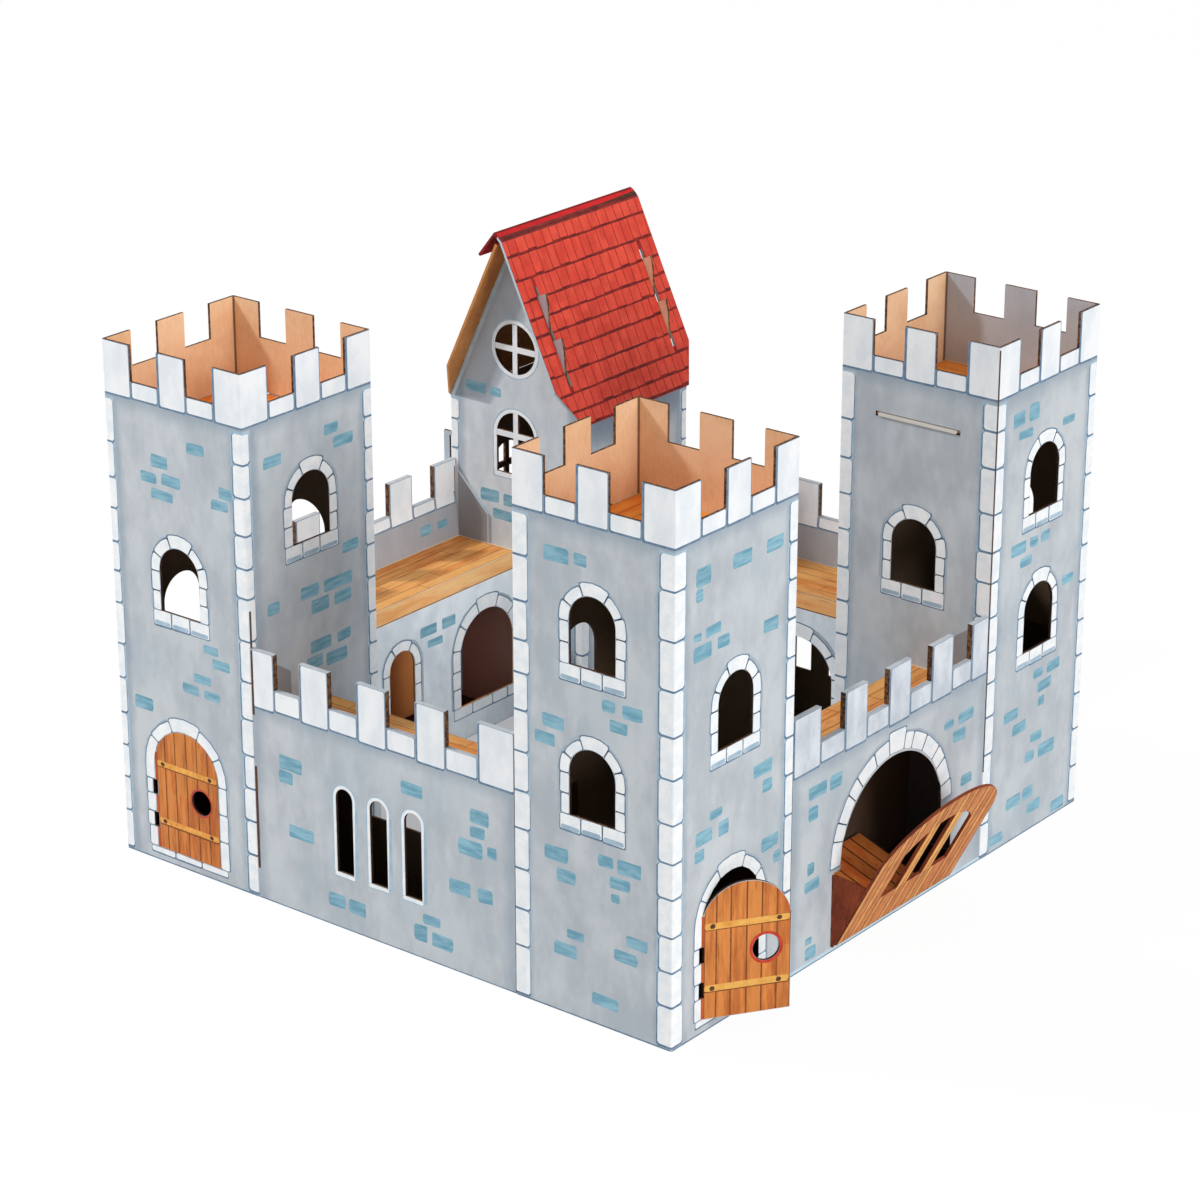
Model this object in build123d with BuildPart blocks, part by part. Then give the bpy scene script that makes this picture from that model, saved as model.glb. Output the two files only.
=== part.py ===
from build123d import *
import math
import os

# Cardboard castle: three square towers and a gabled keep at the corners of a square yard, four folded walls
# between them.
# Millimetres. Origin: middle of the near tower's foot, on the ground. +Z up. The gate wall faces -Y.

board = 2.0                      # card thickness
unit = 25.0                      # one battlement tooth or gap
tower_side = 5 * unit
castle_side = 19 * unit
span = castle_side - tower_side  # from the axis of one tower to the next
fit_gap = 0.2                    # air left between two separate sheets
cut_gap = 0.7                    # width of a die-cut line

# Towers
tower_height = 370.0
tooth_height = 25.0
corner_round = 1.2
window_w = 36.0
window_h = 48.0
sill_low = 139.0
sill_mid = 188.0
tray_depth = 64.0                # from the tower's top down to its floor
floor_top = tower_height - tray_depth
sill_drop = 66.0                 # the upper windows' sills, below the floor
sill_high = floor_top - sill_drop
floor_slot_w = 68.0
floor_slot_h = board + 1.6
floor_tab_w = 62.0
floor_flap = 14.0
seam_gap = 0.3

# Tower door, a flap creased on its left side
door_left = 30.5                 # crease, from the panel's left edge
door_w = 60.0
door_foot = 10.0
door_top = 102.5
door_open_deg = 34.0
door_hole_r = 9.0
door_hole_x = 43.5               # from the crease
door_hole_z = 54.5
hinge_slot_w = 4.5
hinge_slots = ((25.0, 36.0), (49.5, 60.5))

# Slots where the walls are plugged into the towers
plug_low = (22.0, 100.0)
plug_high = (133.0, 208.0)
plug_short = (137.0, 175.0)
plug_depth = 12.0
plug_play = 2.0                  # clearance above and below each plug

# Walls
wall_recess = 0.3                # outer face of a wall behind the towers' outer faces
wall_len = span - tower_side
front_top = 181.0
back_top = 191.0
walk_top = 131.0
walk_depth = 2.5 * unit
parapet_foot = 8.2               # inner face of the parapet at the walkway, from the towers' outer faces
slot_reach = wall_recess + 2 * board + 0.5   # how far a plug slot runs in from the corner
front_shift = -7.0               # how far the front walls' middle teeth sit off the grid, towards the outer tower
first_short = 5.0                # the front walls' first tooth is narrower by this, the last one wider
lancet_w = 14.5
lancet_foot = 41.0
lancet_top = 102.0
lancet_pitch = 29.7
lancet_shift = -2.8              # middle lancet of the front-left wall, from the wall's middle
wing_reach = 36.0
wing_low = 23.0                  # height of a wing's outer end above the walkway
wing_drop = 4.0                  # wing's tip below the teeth
arch_w = 60.0
arch_foot = 26.0
arch_top = 96.0
slit_foot = 52.0                 # foot of the front-left wall's shorter yard-side arch
arch_shift = -37.5               # yard-side arch, from the wall's middle
arch_start = 35.5                # back-left wall's arch, from the keep
doorway_w = 27.5
doorway_top = 92.0
doorway_shift = 17.5

# Gate and its drawbridge, a flap creased at its foot
gate_shift = 2.5                 # middle of the gate's arch, from the wall's middle
gate_r = 59.0
gate_spring = 58.5
gate_foot = 5.0
nick_depth = 5.0                 # small nicks in both sides of the arch
nick_z = (70.0, 79.0)
bridge_lean_deg = 27.0
bridge_w = 135.0
bridge_shift = 4.0               # middle of the leaf, from the arch's middle
bridge_len = 108.5
bridge_spring = 68.0             # height at which the leaf begins to round in
cheek_room = 4.0                 # opening beside the leaf for its gusset
cheek_top = 57.0
slit_side = 39.3                 # half width over the leaf's three openings
slit_low = 32.0
slit_spring = 55.0
slit_high = 89.0
bar_w = 11.5
bar_at = 14.5                    # middle of each bar, from the leaf's middle line
ramp_w = 106.0
ramp_shift = -4.5                # middle of the passage floor, from the arch's middle
ramp_room = 0.5                  # between the passage floor and the yard-side panel

# Keep
keep_side = tower_side
eave_z = 240.0
apex_z = 372.0
round_win_z = 287.0
round_win_r = 19.0
muntin = 4.6
keep_sill = 190.0
keep_bar = 30.5                  # middle of a window's cross bar above its sill
keep_flap = (187.0, 211.0)       # flap left standing out beside the corner
keep_flap_out = 7.0
keep_flap_rim = 3.0
hook_reach = 10.0

# Roof
overhang = 17.0
chamfer_up = 31.0                # height along the slope at which the overhang is full
slope_rise = apex_z - eave_z
slope_deg = math.degrees(math.atan2(slope_rise, keep_side / 2))
slope_len = math.hypot(slope_rise, keep_side / 2)
pitch = slope_rise / (keep_side / 2)
apex_flat = 2.0                  # half width of the gable's blunt tip
hooks = ((72.0, 100.0), (37.0, 66.0))   # foot and head of each hook, along the slope from the eave
roof_slot = (31.0, 107.0)
flap_len = 22.0
ridge_strip = 6.5


def arch_shape(plane, cx, foot, width, height):
    """Round-headed opening: cx and foot are in the plane's own x and y."""
    with BuildSketch(plane) as s:
        with Locations((cx, foot)):
            Rectangle(width, height - width / 2, align=(Align.CENTER, Align.MIN))
        with Locations((cx, foot + height - width / 2)):
            Circle(width / 2)
        with Locations((cx, foot)):
            Rectangle(2 * width, width, align=(Align.CENTER, Align.MAX), mode=Mode.SUBTRACT)
    return s.sketch


def box_cut(x0, x1, y0, y1, z0, z1):
    with Locations(((x0 + x1) / 2, (y0 + y1) / 2, (z0 + z1) / 2)):
        Box(x1 - x0, y1 - y0, z1 - z0, mode=Mode.SUBTRACT)


def box_add(x0, x1, y0, y1, z0, z1):
    with Locations(((x0 + x1) / 2, (y0 + y1) / 2, (z0 + z1) / 2)):
        Box(x1 - x0, y1 - y0, z1 - z0)


h = tower_side / 2
inner = h - board
spring = door_top - door_w / 2
door_x = -h + door_left


def door_outline(plane, grow, x_from):
    """The door's arch, grown by a margin, cut off straight at x_from on the crease side."""
    with BuildSketch(plane) as s:
        with Locations((door_x + door_w / 2, door_foot - grow)):
            Rectangle(door_w + 2 * grow, spring - door_foot + grow, align=(Align.CENTER, Align.MIN))
        with Locations((door_x + door_w / 2, spring)):
            Circle(door_w / 2 + grow)
        with Locations((x_from, 0)):
            Rectangle(tower_side, 2 * tower_height, align=(Align.MAX, Align.CENTER), mode=Mode.SUBTRACT)
    return s.sketch


def tower_sheet(open_deg):
    """One folded tower. Panels in order round the tube: -X, -Y (with the door), +X, +Y."""
    with BuildPart() as sheet:
        with BuildSketch() as plan:
            Rectangle(tower_side, tower_side)
            fillet(plan.vertices(), corner_round)
            Rectangle(2 * inner, 2 * inner, mode=Mode.SUBTRACT)
        extrude(amount=tower_height)
        # the battlements
        for k in (-1, 1):
            box_cut(k * unit - unit / 2, k * unit + unit / 2, -h - 1, h + 1, tower_height - tooth_height,
                    tower_height + 1)
            box_cut(-h - 1, h + 1, k * unit - unit / 2, k * unit + unit / 2, tower_height - tooth_height,
                    tower_height + 1)
        # windows: two on the -X panel, one on each of the others
        extrude(arch_shape(Plane.YZ, 0, sill_high, window_w, window_h), amount=h + 1, both=True,
                mode=Mode.SUBTRACT)
        extrude(arch_shape(Plane.YZ, 0, sill_low, window_w, window_h), amount=-(h + 1), mode=Mode.SUBTRACT)
        extrude(arch_shape(Plane.XZ, 0, sill_mid, window_w, window_h), amount=h + 1, both=True,
                mode=Mode.SUBTRACT)
        # slot for the floor's tab
        mid = floor_top - board / 2
        box_cut(-floor_slot_w / 2, floor_slot_w / 2, inner - 1, h + 1, mid - floor_slot_h / 2, mid + floor_slot_h / 2)
        # open seam between the last panel and the first
        box_cut(-inner, -inner + seam_gap, inner, h + 1, -1, tower_height + 1)
        # slots for the walls' plugs, at the corner of the door panel and at the seam
        for z0, z1 in (plug_low, plug_high):
            box_cut(inner, h + 1, -h - 1, -h + slot_reach, z0, z1)
        for z0, z1 in (plug_low, plug_short):
            box_cut(-inner, -h + slot_reach, inner - 0.5, h + 1, z0, z1)
        # the door
        face = Plane.XZ.offset(h + 1)
        if open_deg == 0:
            ring = door_outline(face, cut_gap, door_x)
            core = door_outline(face, 0, door_x - 5)
            extrude(ring - core, amount=-(board + 2), mode=Mode.SUBTRACT)
            with Locations((door_x + door_hole_x, -h, door_hole_z)):
                Cylinder(door_hole_r, 4 * board, rotation=(90, 0, 0), mode=Mode.SUBTRACT)
            for z0, z1 in hinge_slots:
                box_cut(door_x - hinge_slot_w / 2, door_x + hinge_slot_w / 2, -h - 1, -inner + 0.5, z0, z1)
        else:
            extrude(door_outline(face, cut_gap, door_x), amount=-(board + 2), mode=Mode.SUBTRACT)
            swing = Plane(origin=(door_x, -inner, 0), x_dir=(1, 0, 0), z_dir=(0, 0, 1))
            swing = swing.rotated((0, 0, -open_deg))
            leaf_face = Plane(origin=swing.from_local_coords((0, -board, 0)),
                              x_dir=swing.x_dir, z_dir=-swing.y_dir)
            with BuildSketch(leaf_face) as leaf:
                with Locations((door_w / 2, door_foot)):
                    Rectangle(door_w, spring - door_foot, align=(Align.CENTER, Align.MIN))
                with Locations((door_w / 2, spring)):
                    Circle(door_w / 2)
                with Locations((door_hole_x, door_hole_z)):
                    Circle(door_hole_r, mode=Mode.SUBTRACT)
            extrude(leaf.sketch, amount=-board)
            for z0, z1 in hinge_slots:
                box_cut(door_x - hinge_slot_w / 2 - 0.6, door_x + hinge_slot_w / 2 - 0.6, -h - 2.5, -inner + 0.5,
                        z0, z1)
    return sheet.part


def tower_floor():
    """Floor plate: a tab through the slot of the +Y panel, three flaps folded down against the others."""
    edge = inner - fit_gap
    with BuildPart() as plate:
        box_add(-edge, edge, -edge, edge, floor_top - board, floor_top)
        box_add(-floor_tab_w / 2, floor_tab_w / 2, edge - 1, h + 1.6, floor_top - board, floor_top)
        box_add(-edge, -edge + board, -edge + 6, edge - 6, floor_top - floor_flap, floor_top - board + 0.1)
        box_add(edge - board, edge, -edge + 6, edge - 6, floor_top - floor_flap, floor_top - board + 0.1)
        box_add(-edge + 6, edge - 6, -edge, -edge + board, floor_top - floor_flap, floor_top - board + 0.1)
    return plate.part


left = (0, span, 0)
right = (span, 0, 0)

with BuildPart() as tower_near:
    add(tower_sheet(door_open_deg))
with BuildPart() as tower_left:
    add(tower_sheet(0).moved(Location(left, (0, 0, -90))))
with BuildPart() as tower_right:
    add(tower_sheet(0).moved(Location(right, (0, 0, 90))))
with BuildPart() as floor_near:
    add(tower_floor())
with BuildPart() as floor_left:
    add(tower_floor().moved(Location(left, (0, 0, -90))))
with BuildPart() as floor_right:
    add(tower_floor().moved(Location(right, (0, 0, 90))))


def wall_sheet(top, teeth, lancets, gate, arches):
    """One folded wall, X along it from one neighbour to the other, Y inward from the outer faces.

    top: height of the teeth. teeth: start and end of each. lancets: middles of the narrow windows. gate: middle
    of the gate or 0. arches: (middle, foot, width, height) of each opening in the yard-side panel.
    """
    y0 = wall_recess
    y1 = y0 + board
    y2 = y1 + board
    notch = top - tooth_height
    x0 = fit_gap
    x1 = wall_len - fit_gap
    with BuildPart() as sheet:
        # section: outer panel, fold at the teeth, leaning parapet, walkway, yard-side panel
        with BuildSketch(Plane.YZ.offset(x0)) as section:
            with BuildLine():
                Polyline((y0, 0), (y0, top), (y2, top), (y2, notch), (parapet_foot, walk_top),
                         (walk_depth, walk_top), (walk_depth, 0), (walk_depth - board, 0),
                         (walk_depth - board, walk_top - board), (parapet_foot - board, walk_top - board),
                         (y1 + 0.5, notch - 3), (y1, notch - 3), (y1, 0), close=True)
            make_face()
        extrude(amount=x1 - x0)
        gaps = [(teeth[k][1], teeth[k + 1][0]) for k in range(len(teeth) - 1)]
        for g0, g1 in gaps:
            box_cut(g0, g1, y0 - 1, y2 + 1, notch, top + 1)
        # the slit between the two layers in each gap between teeth
        for g0, g1 in gaps:
            box_cut(g0, g1, y1, y1 + 0.5, notch - 4, notch + 1)
        # plugs that go into the neighbours' slots
        for z0, z1 in (plug_low, plug_short):
            box_add(-board - plug_depth, x0 + 8, y1, y2, z0 + plug_play, z1 - plug_play)
            box_add(x1 - 8, wall_len + board + plug_depth, y1, y2, z0 + plug_play, z1 - plug_play)
        # end wings, folded from the parapet and standing on the walkway
        for xa in (x0, x1 - board):
            with BuildSketch(Plane.YZ.offset(xa)) as wing:
                with BuildLine():
                    Polyline((y1 + 0.6, top - wing_drop), (wing_reach, walk_top + wing_low),
                             (wing_reach, walk_top - 0.5),
                             (parapet_foot - 1, walk_top - 0.5), (y1 + 0.9, notch - 3), close=True)
                make_face()
            extrude(amount=board)
        for mid in lancets:
            sk = arch_shape(Plane.XZ, mid, lancet_foot, lancet_w, lancet_top - lancet_foot)
            extrude(sk, amount=-(y1 + 0.5), mode=Mode.SUBTRACT)
        for cx, foot, width, height in arches:
            sk = arch_shape(Plane.XZ.offset(-(walk_depth - board - 1)), cx, foot, width, height)
            extrude(sk, amount=-(board + 3), mode=Mode.SUBTRACT)
        if gate:
            # arch of the outer panel with its nicks
            sk = arch_shape(Plane.XZ, gate, gate_foot, 2 * gate_r, gate_spring + gate_r - gate_foot)
            extrude(sk, amount=-(y1 + 0.5), mode=Mode.SUBTRACT)
            box_cut(gate - gate_r - nick_depth, gate + gate_r + nick_depth, y0 - 1, y1 + 0.5, *nick_z)
            # wider opening that the leaf and its gusset leave
            leaf_x = gate + bridge_shift
            edge = leaf_x - bridge_w / 2 - cut_gap
            box_cut(edge - cheek_room, leaf_x + bridge_w / 2 + cut_gap, y0 - 1, y1 + 0.5, gate_foot, cheek_top)
            # passage floor, rising to the foot of the yard-side arch
            run = walk_depth - board - ramp_room - y1
            tilt = math.atan2(arch_foot - gate_foot, run)
            ramp = Plane(origin=(gate + ramp_shift, y0 + board / 2, gate_foot - board / 2), x_dir=(1, 0, 0),
                         z_dir=(0, -math.sin(tilt), math.cos(tilt)))
            with BuildSketch(ramp) as floor:
                Rectangle(ramp_w, run / math.cos(tilt), align=(Align.CENTER, Align.MIN))
            extrude(floor.sketch, amount=board)
            # drawbridge leaf
            lean = math.radians(bridge_lean_deg)
            up = Vector(0, -math.sin(lean), math.cos(lean))
            out = Vector(0, -math.cos(lean), -math.sin(lean))
            hinge = Vector(leaf_x, y0 + 0.6, gate_foot - 0.6)
            leaf_face = Plane(origin=hinge, x_dir=(1, 0, 0), z_dir=out)
            with BuildSketch(leaf_face) as leaf:
                Rectangle(bridge_w, bridge_spring, align=(Align.CENTER, Align.MIN))
                with Locations((0, bridge_spring)):
                    Ellipse(bridge_w / 2, bridge_len - bridge_spring)
            extrude(leaf.sketch, amount=board)
            with BuildSketch(leaf_face) as slits:
                with Locations((0, slit_low)):
                    Rectangle(2 * slit_side, slit_high - slit_low, align=(Align.CENTER, Align.MIN))
                with Locations((0, slit_spring)):
                    Ellipse(slit_side + 6, slit_high - slit_spring, mode=Mode.INTERSECT)
                with Locations((0, slit_low)):
                    Rectangle(2 * slit_side, slit_spring - slit_low, align=(Align.CENTER, Align.MIN))
                for side in (-1, 1):
                    with Locations((side * bar_at, slit_spring)):
                        Rectangle(bar_w, 2 * bridge_len, mode=Mode.SUBTRACT)
            extrude(slits.sketch, amount=board + 1, mode=Mode.SUBTRACT)
            # gusset between the opening's left edge and the leaf
            reach = cheek_top - gate_foot
            wall_foot = Vector(edge - cheek_room - 0.5, y0 + 0.5, gate_foot)
            wall_head = wall_foot + Vector(0, 0, reach)
            leaf_foot = hinge + Vector(-bridge_w / 2 + 1.5, 0, 0) + out * 0.8
            leaf_head = leaf_foot + up * reach
            normal = (wall_head - wall_foot).cross(leaf_head - wall_foot).normalized()
            gusset_face = Plane(origin=wall_foot, x_dir=(0, 0, 1), z_dir=normal)
            corners = [gusset_face.to_local_coords(p) for p in (wall_foot, wall_head, leaf_head, leaf_foot)]
            with BuildSketch(gusset_face) as gusset:
                with BuildLine():
                    Polyline(*[(p.X, p.Y) for p in corners], close=True)
                make_face()
            extrude(gusset.sketch, amount=board)
    return sheet.part


def teeth_along(shift, short):
    """Start and end of each tooth along a wall, from the outer tower."""
    pairs = int((wall_len / unit - 1) / 2)
    pitch_x = (wall_len - unit) / pairs
    between = [(pitch_x * j + shift, pitch_x * j + shift + unit) for j in range(1, pairs)]
    return [(0, unit - short)] + between + [(wall_len - unit - short, wall_len)]


front_teeth = teeth_along(front_shift, first_short)
gate_teeth = [(wall_len - e, wall_len - b) for b, e in reversed(front_teeth)]
back_teeth = teeth_along(0, 0)
middle = wall_len / 2
front_lancets = [middle + lancet_shift + j * lancet_pitch for j in (-1, 0, 1)]
back_lancets = [middle + j * lancet_pitch for j in (-1, 0, 1)]
big_arch = (middle + arch_shift, arch_foot, arch_w, arch_top - arch_foot)

with BuildPart() as wall_gate:
    add(wall_sheet(front_top, gate_teeth, (), middle + gate_shift, (big_arch,)).moved(Location((h, -h, 0))))
with BuildPart() as wall_front_left:
    slit_arch = (middle + arch_shift, slit_foot, arch_w, arch_top - slit_foot)
    add(wall_sheet(front_top, front_teeth, front_lancets, 0, (slit_arch,)).moved(
        Location((-h, span - h, 0), (0, 0, -90))))
with BuildPart() as wall_back_left:
    add(wall_sheet(back_top, back_teeth, back_lancets, 0,
                   ((arch_start, arch_foot, arch_w, arch_top - arch_foot),
                    (middle + doorway_shift, 0.0, doorway_w, doorway_top))).moved(
        Location((span - h, span + h, 0), (0, 0, 180))))
with BuildPart() as wall_back_right:
    add(wall_sheet(back_top, back_teeth, back_lancets, 0, (big_arch,)).moved(
        Location((span + h, h, 0), (0, 0, 90))))

# Keep: a square tube, gabled on its X sides
k = keep_side / 2
keep_at = (span + h - k, span + h - k, 0)


def panes(plane, cx, foot):
    """Round-headed window with a cross of bars, as one sketch of its four panes."""
    s = arch_shape(plane, cx, foot, window_w, window_h)
    with BuildSketch(plane) as bars:
        with Locations((cx, foot + window_h / 2)):
            Rectangle(muntin, window_h + 10)
        with Locations((cx, foot + keep_bar)):
            Rectangle(window_w + 10, muntin)
    return s - bars.sketch


def tooth(foot, head):
    """A hook on a gable's slope: abrupt head, tapering foot. Points are (along slope, out from it)."""
    return ((foot, 0.0), (foot, 0.6), (head - 9, hook_reach * 0.8), (head, hook_reach), (head, 0.0))


with BuildPart() as keep_raw:
    with BuildSketch() as plan:
        Rectangle(keep_side, keep_side)
        fillet(plan.vertices(), corner_round)
        Rectangle(keep_side - 2 * board, keep_side - 2 * board, mode=Mode.SUBTRACT)
    extrude(amount=eave_z)
    # gables
    for side in (-1, 1):
        x_face = side * k - (board if side > 0 else 0)
        with BuildSketch(Plane.YZ.offset(x_face)) as gable:
            with BuildLine():
                Polyline((-k, eave_z - 1), (-k, eave_z), (-apex_flat, apex_z - apex_flat * pitch),
                         (apex_flat, apex_z - apex_flat * pitch), (k, eave_z), (k, eave_z - 1), close=True)
            make_face()
            for flip in (-1, 1):
                for foot, head in hooks:
                    a = math.radians(slope_deg)
                    pts = [(flip * (-k + s * math.cos(a) - o * math.sin(a)),
                            eave_z + s * math.sin(a) + o * math.cos(a)) for s, o in tooth(foot, head)]
                    base = [(flip * (-k + s * math.cos(a) + 2 * math.sin(a)),
                             eave_z + s * math.sin(a) - 2 * math.cos(a)) for s in (head, foot)]
                    with BuildLine():
                        Polyline(*pts, *base, close=True)
                    make_face()
        extrude(amount=board)
    # windows
    with BuildSketch(Plane.YZ) as rose:
        with Locations((0, round_win_z)):
            Circle(round_win_r)
            Rectangle(muntin, 3 * round_win_r, mode=Mode.SUBTRACT)
            Rectangle(3 * round_win_r, muntin, mode=Mode.SUBTRACT)
    extrude(rose.sketch, amount=k + 1, both=True, mode=Mode.SUBTRACT)
    extrude(panes(Plane.YZ, 0, keep_sill), amount=k + 1, both=True, mode=Mode.SUBTRACT)
    extrude(panes(Plane.XZ, 0, sill_low), amount=k + 1, both=True, mode=Mode.SUBTRACT)
    # open seam at the corner of the -Y and +X panels
    box_cut(k - board - seam_gap, k - board, -k - 1, -k + board, -1, eave_z + 1)
    # slots for the plugs of the two walls that meet the keep
    for z0, z1 in (plug_low, plug_short):
        box_cut(-k - 1, -k + board + 0.5, k - slot_reach, k - board, z0, z1)
        box_cut(k - slot_reach, k - board, -k - 1, -k + board + 0.5, z0, z1)
    # flap left standing out beside the upper slot
    box_add(-k, -k + board, k - 1.5, k + keep_flap_out, *keep_flap)
    box_cut(-k - 1, -k + board + 0.5, k - 1.0, k + 1.6, keep_flap[0] + keep_flap_rim,
            keep_flap[1] - keep_flap_rim)

with BuildPart() as keep:
    add(keep_raw.part.moved(Location(keep_at)))

# Roof sheets, in the keep's own frame
a = math.radians(slope_deg)
lift = fit_gap


def slope_plane(flip):
    """Plane lying on the keep's slope: x along the ridge, y up the slope, z outward. flip -1 front, 1 back."""
    if flip < 0:
        return Plane(origin=(0, -k - lift * math.sin(a), eave_z + lift * math.cos(a)), x_dir=(1, 0, 0),
                     z_dir=(0, -math.sin(a), math.cos(a)))
    return Plane(origin=(0, k + lift * math.sin(a), eave_z + lift * math.cos(a)), x_dir=(-1, 0, 0),
                 z_dir=(0, math.sin(a), math.cos(a)))


def slope_sheet(flip, up_to):
    long_half = k + overhang
    with BuildSketch(slope_plane(flip)) as s:
        with BuildLine():
            Polyline((-k, 0), (-long_half, chamfer_up), (-long_half, up_to), (long_half, up_to),
                     (long_half, chamfer_up), (k, 0), close=True)
        make_face()
        for side in (-1, 1):
            with Locations((side * (k - board / 2), (roof_slot[0] + roof_slot[1]) / 2)):
                Rectangle(board + 1.0, roof_slot[1] - roof_slot[0], mode=Mode.SUBTRACT)
    return s.sketch


with BuildPart() as roof_front_raw:
    extrude(slope_sheet(-1, slope_len - 1.0), amount=board)
    # ridge strip and the flap that goes over to the back slope
    p = slope_plane(-1).from_local_coords((0, slope_len - 1.0, 0))
    strip_deg = slope_deg - 24
    q = Vector(0, p.Y + ridge_strip * math.cos(math.radians(strip_deg)),
               p.Z + ridge_strip * math.sin(math.radians(strip_deg)))
    down = math.radians(52)
    r = Vector(0, q.Y + flap_len * math.cos(down), q.Z - flap_len * math.sin(down))
    with BuildSketch(Plane.YZ.offset(-k - overhang)) as ridge:
        with BuildLine():
            Polyline((p.Y, p.Z), (q.Y, q.Z), (r.Y, r.Z),
                     (r.Y + board * math.sin(down), r.Z + board * math.cos(down)),
                     (q.Y + 0.2, q.Z + board * 1.25),
                     (p.Y - board * math.sin(a), p.Z + board * math.cos(a)), close=True)
        make_face()
    extrude(amount=2 * (k + overhang))

with BuildPart() as roof_back_raw:
    extrude(slope_sheet(1, slope_len - 3.5), amount=board)

with BuildPart() as roof_front:
    add(roof_front_raw.part.moved(Location(keep_at)))
with BuildPart() as roof_back:
    add(roof_back_raw.part.moved(Location(keep_at)))

os.makedirs("parts", exist_ok=True)
tower_near.part.label = "tower_near"
export_step(tower_near.part, "parts/tower_near.step")
tower_left.part.label = "tower_left"
export_step(tower_left.part, "parts/tower_left.step")
tower_right.part.label = "tower_right"
export_step(tower_right.part, "parts/tower_right.step")
floor_near.part.label = "floor_near"
export_step(floor_near.part, "parts/floor_near.step")
floor_left.part.label = "floor_left"
export_step(floor_left.part, "parts/floor_left.step")
floor_right.part.label = "floor_right"
export_step(floor_right.part, "parts/floor_right.step")
wall_gate.part.label = "wall_gate"
export_step(wall_gate.part, "parts/wall_gate.step")
wall_front_left.part.label = "wall_front_left"
export_step(wall_front_left.part, "parts/wall_front_left.step")
wall_back_left.part.label = "wall_back_left"
export_step(wall_back_left.part, "parts/wall_back_left.step")
wall_back_right.part.label = "wall_back_right"
export_step(wall_back_right.part, "parts/wall_back_right.step")
keep.part.label = "keep"
export_step(keep.part, "parts/keep.step")
roof_front.part.label = "roof_front"
export_step(roof_front.part, "parts/roof_front.step")
roof_back.part.label = "roof_back"
export_step(roof_back.part, "parts/roof_back.step")
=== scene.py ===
import math
import random

import bmesh
import bpy
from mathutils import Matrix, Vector


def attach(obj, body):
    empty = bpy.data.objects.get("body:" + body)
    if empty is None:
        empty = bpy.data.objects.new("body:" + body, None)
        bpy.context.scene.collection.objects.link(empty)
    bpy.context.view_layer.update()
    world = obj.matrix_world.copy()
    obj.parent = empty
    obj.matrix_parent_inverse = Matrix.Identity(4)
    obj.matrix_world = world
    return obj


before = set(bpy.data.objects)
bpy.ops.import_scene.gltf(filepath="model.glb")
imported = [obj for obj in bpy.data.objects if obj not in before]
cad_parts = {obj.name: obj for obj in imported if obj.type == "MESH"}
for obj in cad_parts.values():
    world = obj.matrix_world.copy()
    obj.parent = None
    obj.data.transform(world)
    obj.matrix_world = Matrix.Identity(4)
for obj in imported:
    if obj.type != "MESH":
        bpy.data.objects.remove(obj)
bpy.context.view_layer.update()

# Millimetres from here on, as in the part's source; at() turns them into metres.
# The print is laid over the card as plates of ink, each a closed solid a hair thick.
MM = 0.001
HALF = 62.5          # half the side of a tower and of the keep
SPAN = 350.0         # from one tower's middle to the next
WALL = 225.0         # length of a wall
CARD = 2.0           # thickness of the card
BEND = 1.2           # radius of the towers' corners
SUNK = 0.1           # how far a plate reaches into the card
WALK = 131.0         # top of the walkways
SKIN = 61.3          # what lies farther out than this from a tower's axis is on its outer face
FACING = 0.7         # a face looks a certain way when its normal has this much of that direction
UP = Vector((0, 0, 1))


def tint(red, green, blue):
    """A paint colour given in 0-255 steps, as the shader wants it."""
    return tuple(((c / 255 + 0.055) / 1.055) ** 2.4 if c > 10 else c / 255 / 12.92 for c in (red, green, blue)) + (1,)


# Finishes

def operator(operation, swapped=False):
    """A Python operator on sockets and values, which adds its Math node."""
    def add_node(self, other):
        return self.math(operation, *((other, self) if swapped else (self, other)))
    return add_node


class Wire:
    """A socket in a node tree. A sum written with it adds its Math nodes."""

    def __init__(self, nodes, socket):
        self.nodes = nodes
        self.socket = socket

    def math(self, operation, *values):
        return self.nodes.node("ShaderNodeMath", {"operation": operation}, dict(enumerate(values)))["Value"]

    def __abs__(self):
        return self.math("ABSOLUTE", self)

    __add__ = operator("ADD")
    __radd__ = operator("ADD", True)
    __sub__ = operator("SUBTRACT")
    __rsub__ = operator("SUBTRACT", True)
    __mul__ = operator("MULTIPLY")
    __rmul__ = operator("MULTIPLY", True)
    __gt__ = operator("GREATER_THAN")
    __lt__ = operator("LESS_THAN")
    least = operator("MINIMUM")
    most = operator("MAXIMUM")

    def ramp(self, low, high):
        """0 at low, 1 at high, smooth between."""
        return self.nodes.node("ShaderNodeMapRange", {"interpolation_type": "SMOOTHSTEP"},
                               {"Value": self, "From Min": low, "From Max": high})["Result"]


class Nodes:
    """The node tree of a material or of the world."""

    def __init__(self, owner):
        owner.use_nodes = True
        self.tree = owner.node_tree

    def node(self, kind, settings=None, values=None):
        made = self.tree.nodes.new(kind)
        for key, value in (settings or {}).items():
            setattr(made, key, value)
        for key, value in (values or {}).items():
            socket = made.inputs[key]
            if isinstance(value, Wire):
                self.tree.links.new(value.socket, socket)
            else:
                socket.default_value = value
        return {out.name: Wire(self, out) for out in made.outputs if out.enabled}


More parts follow.
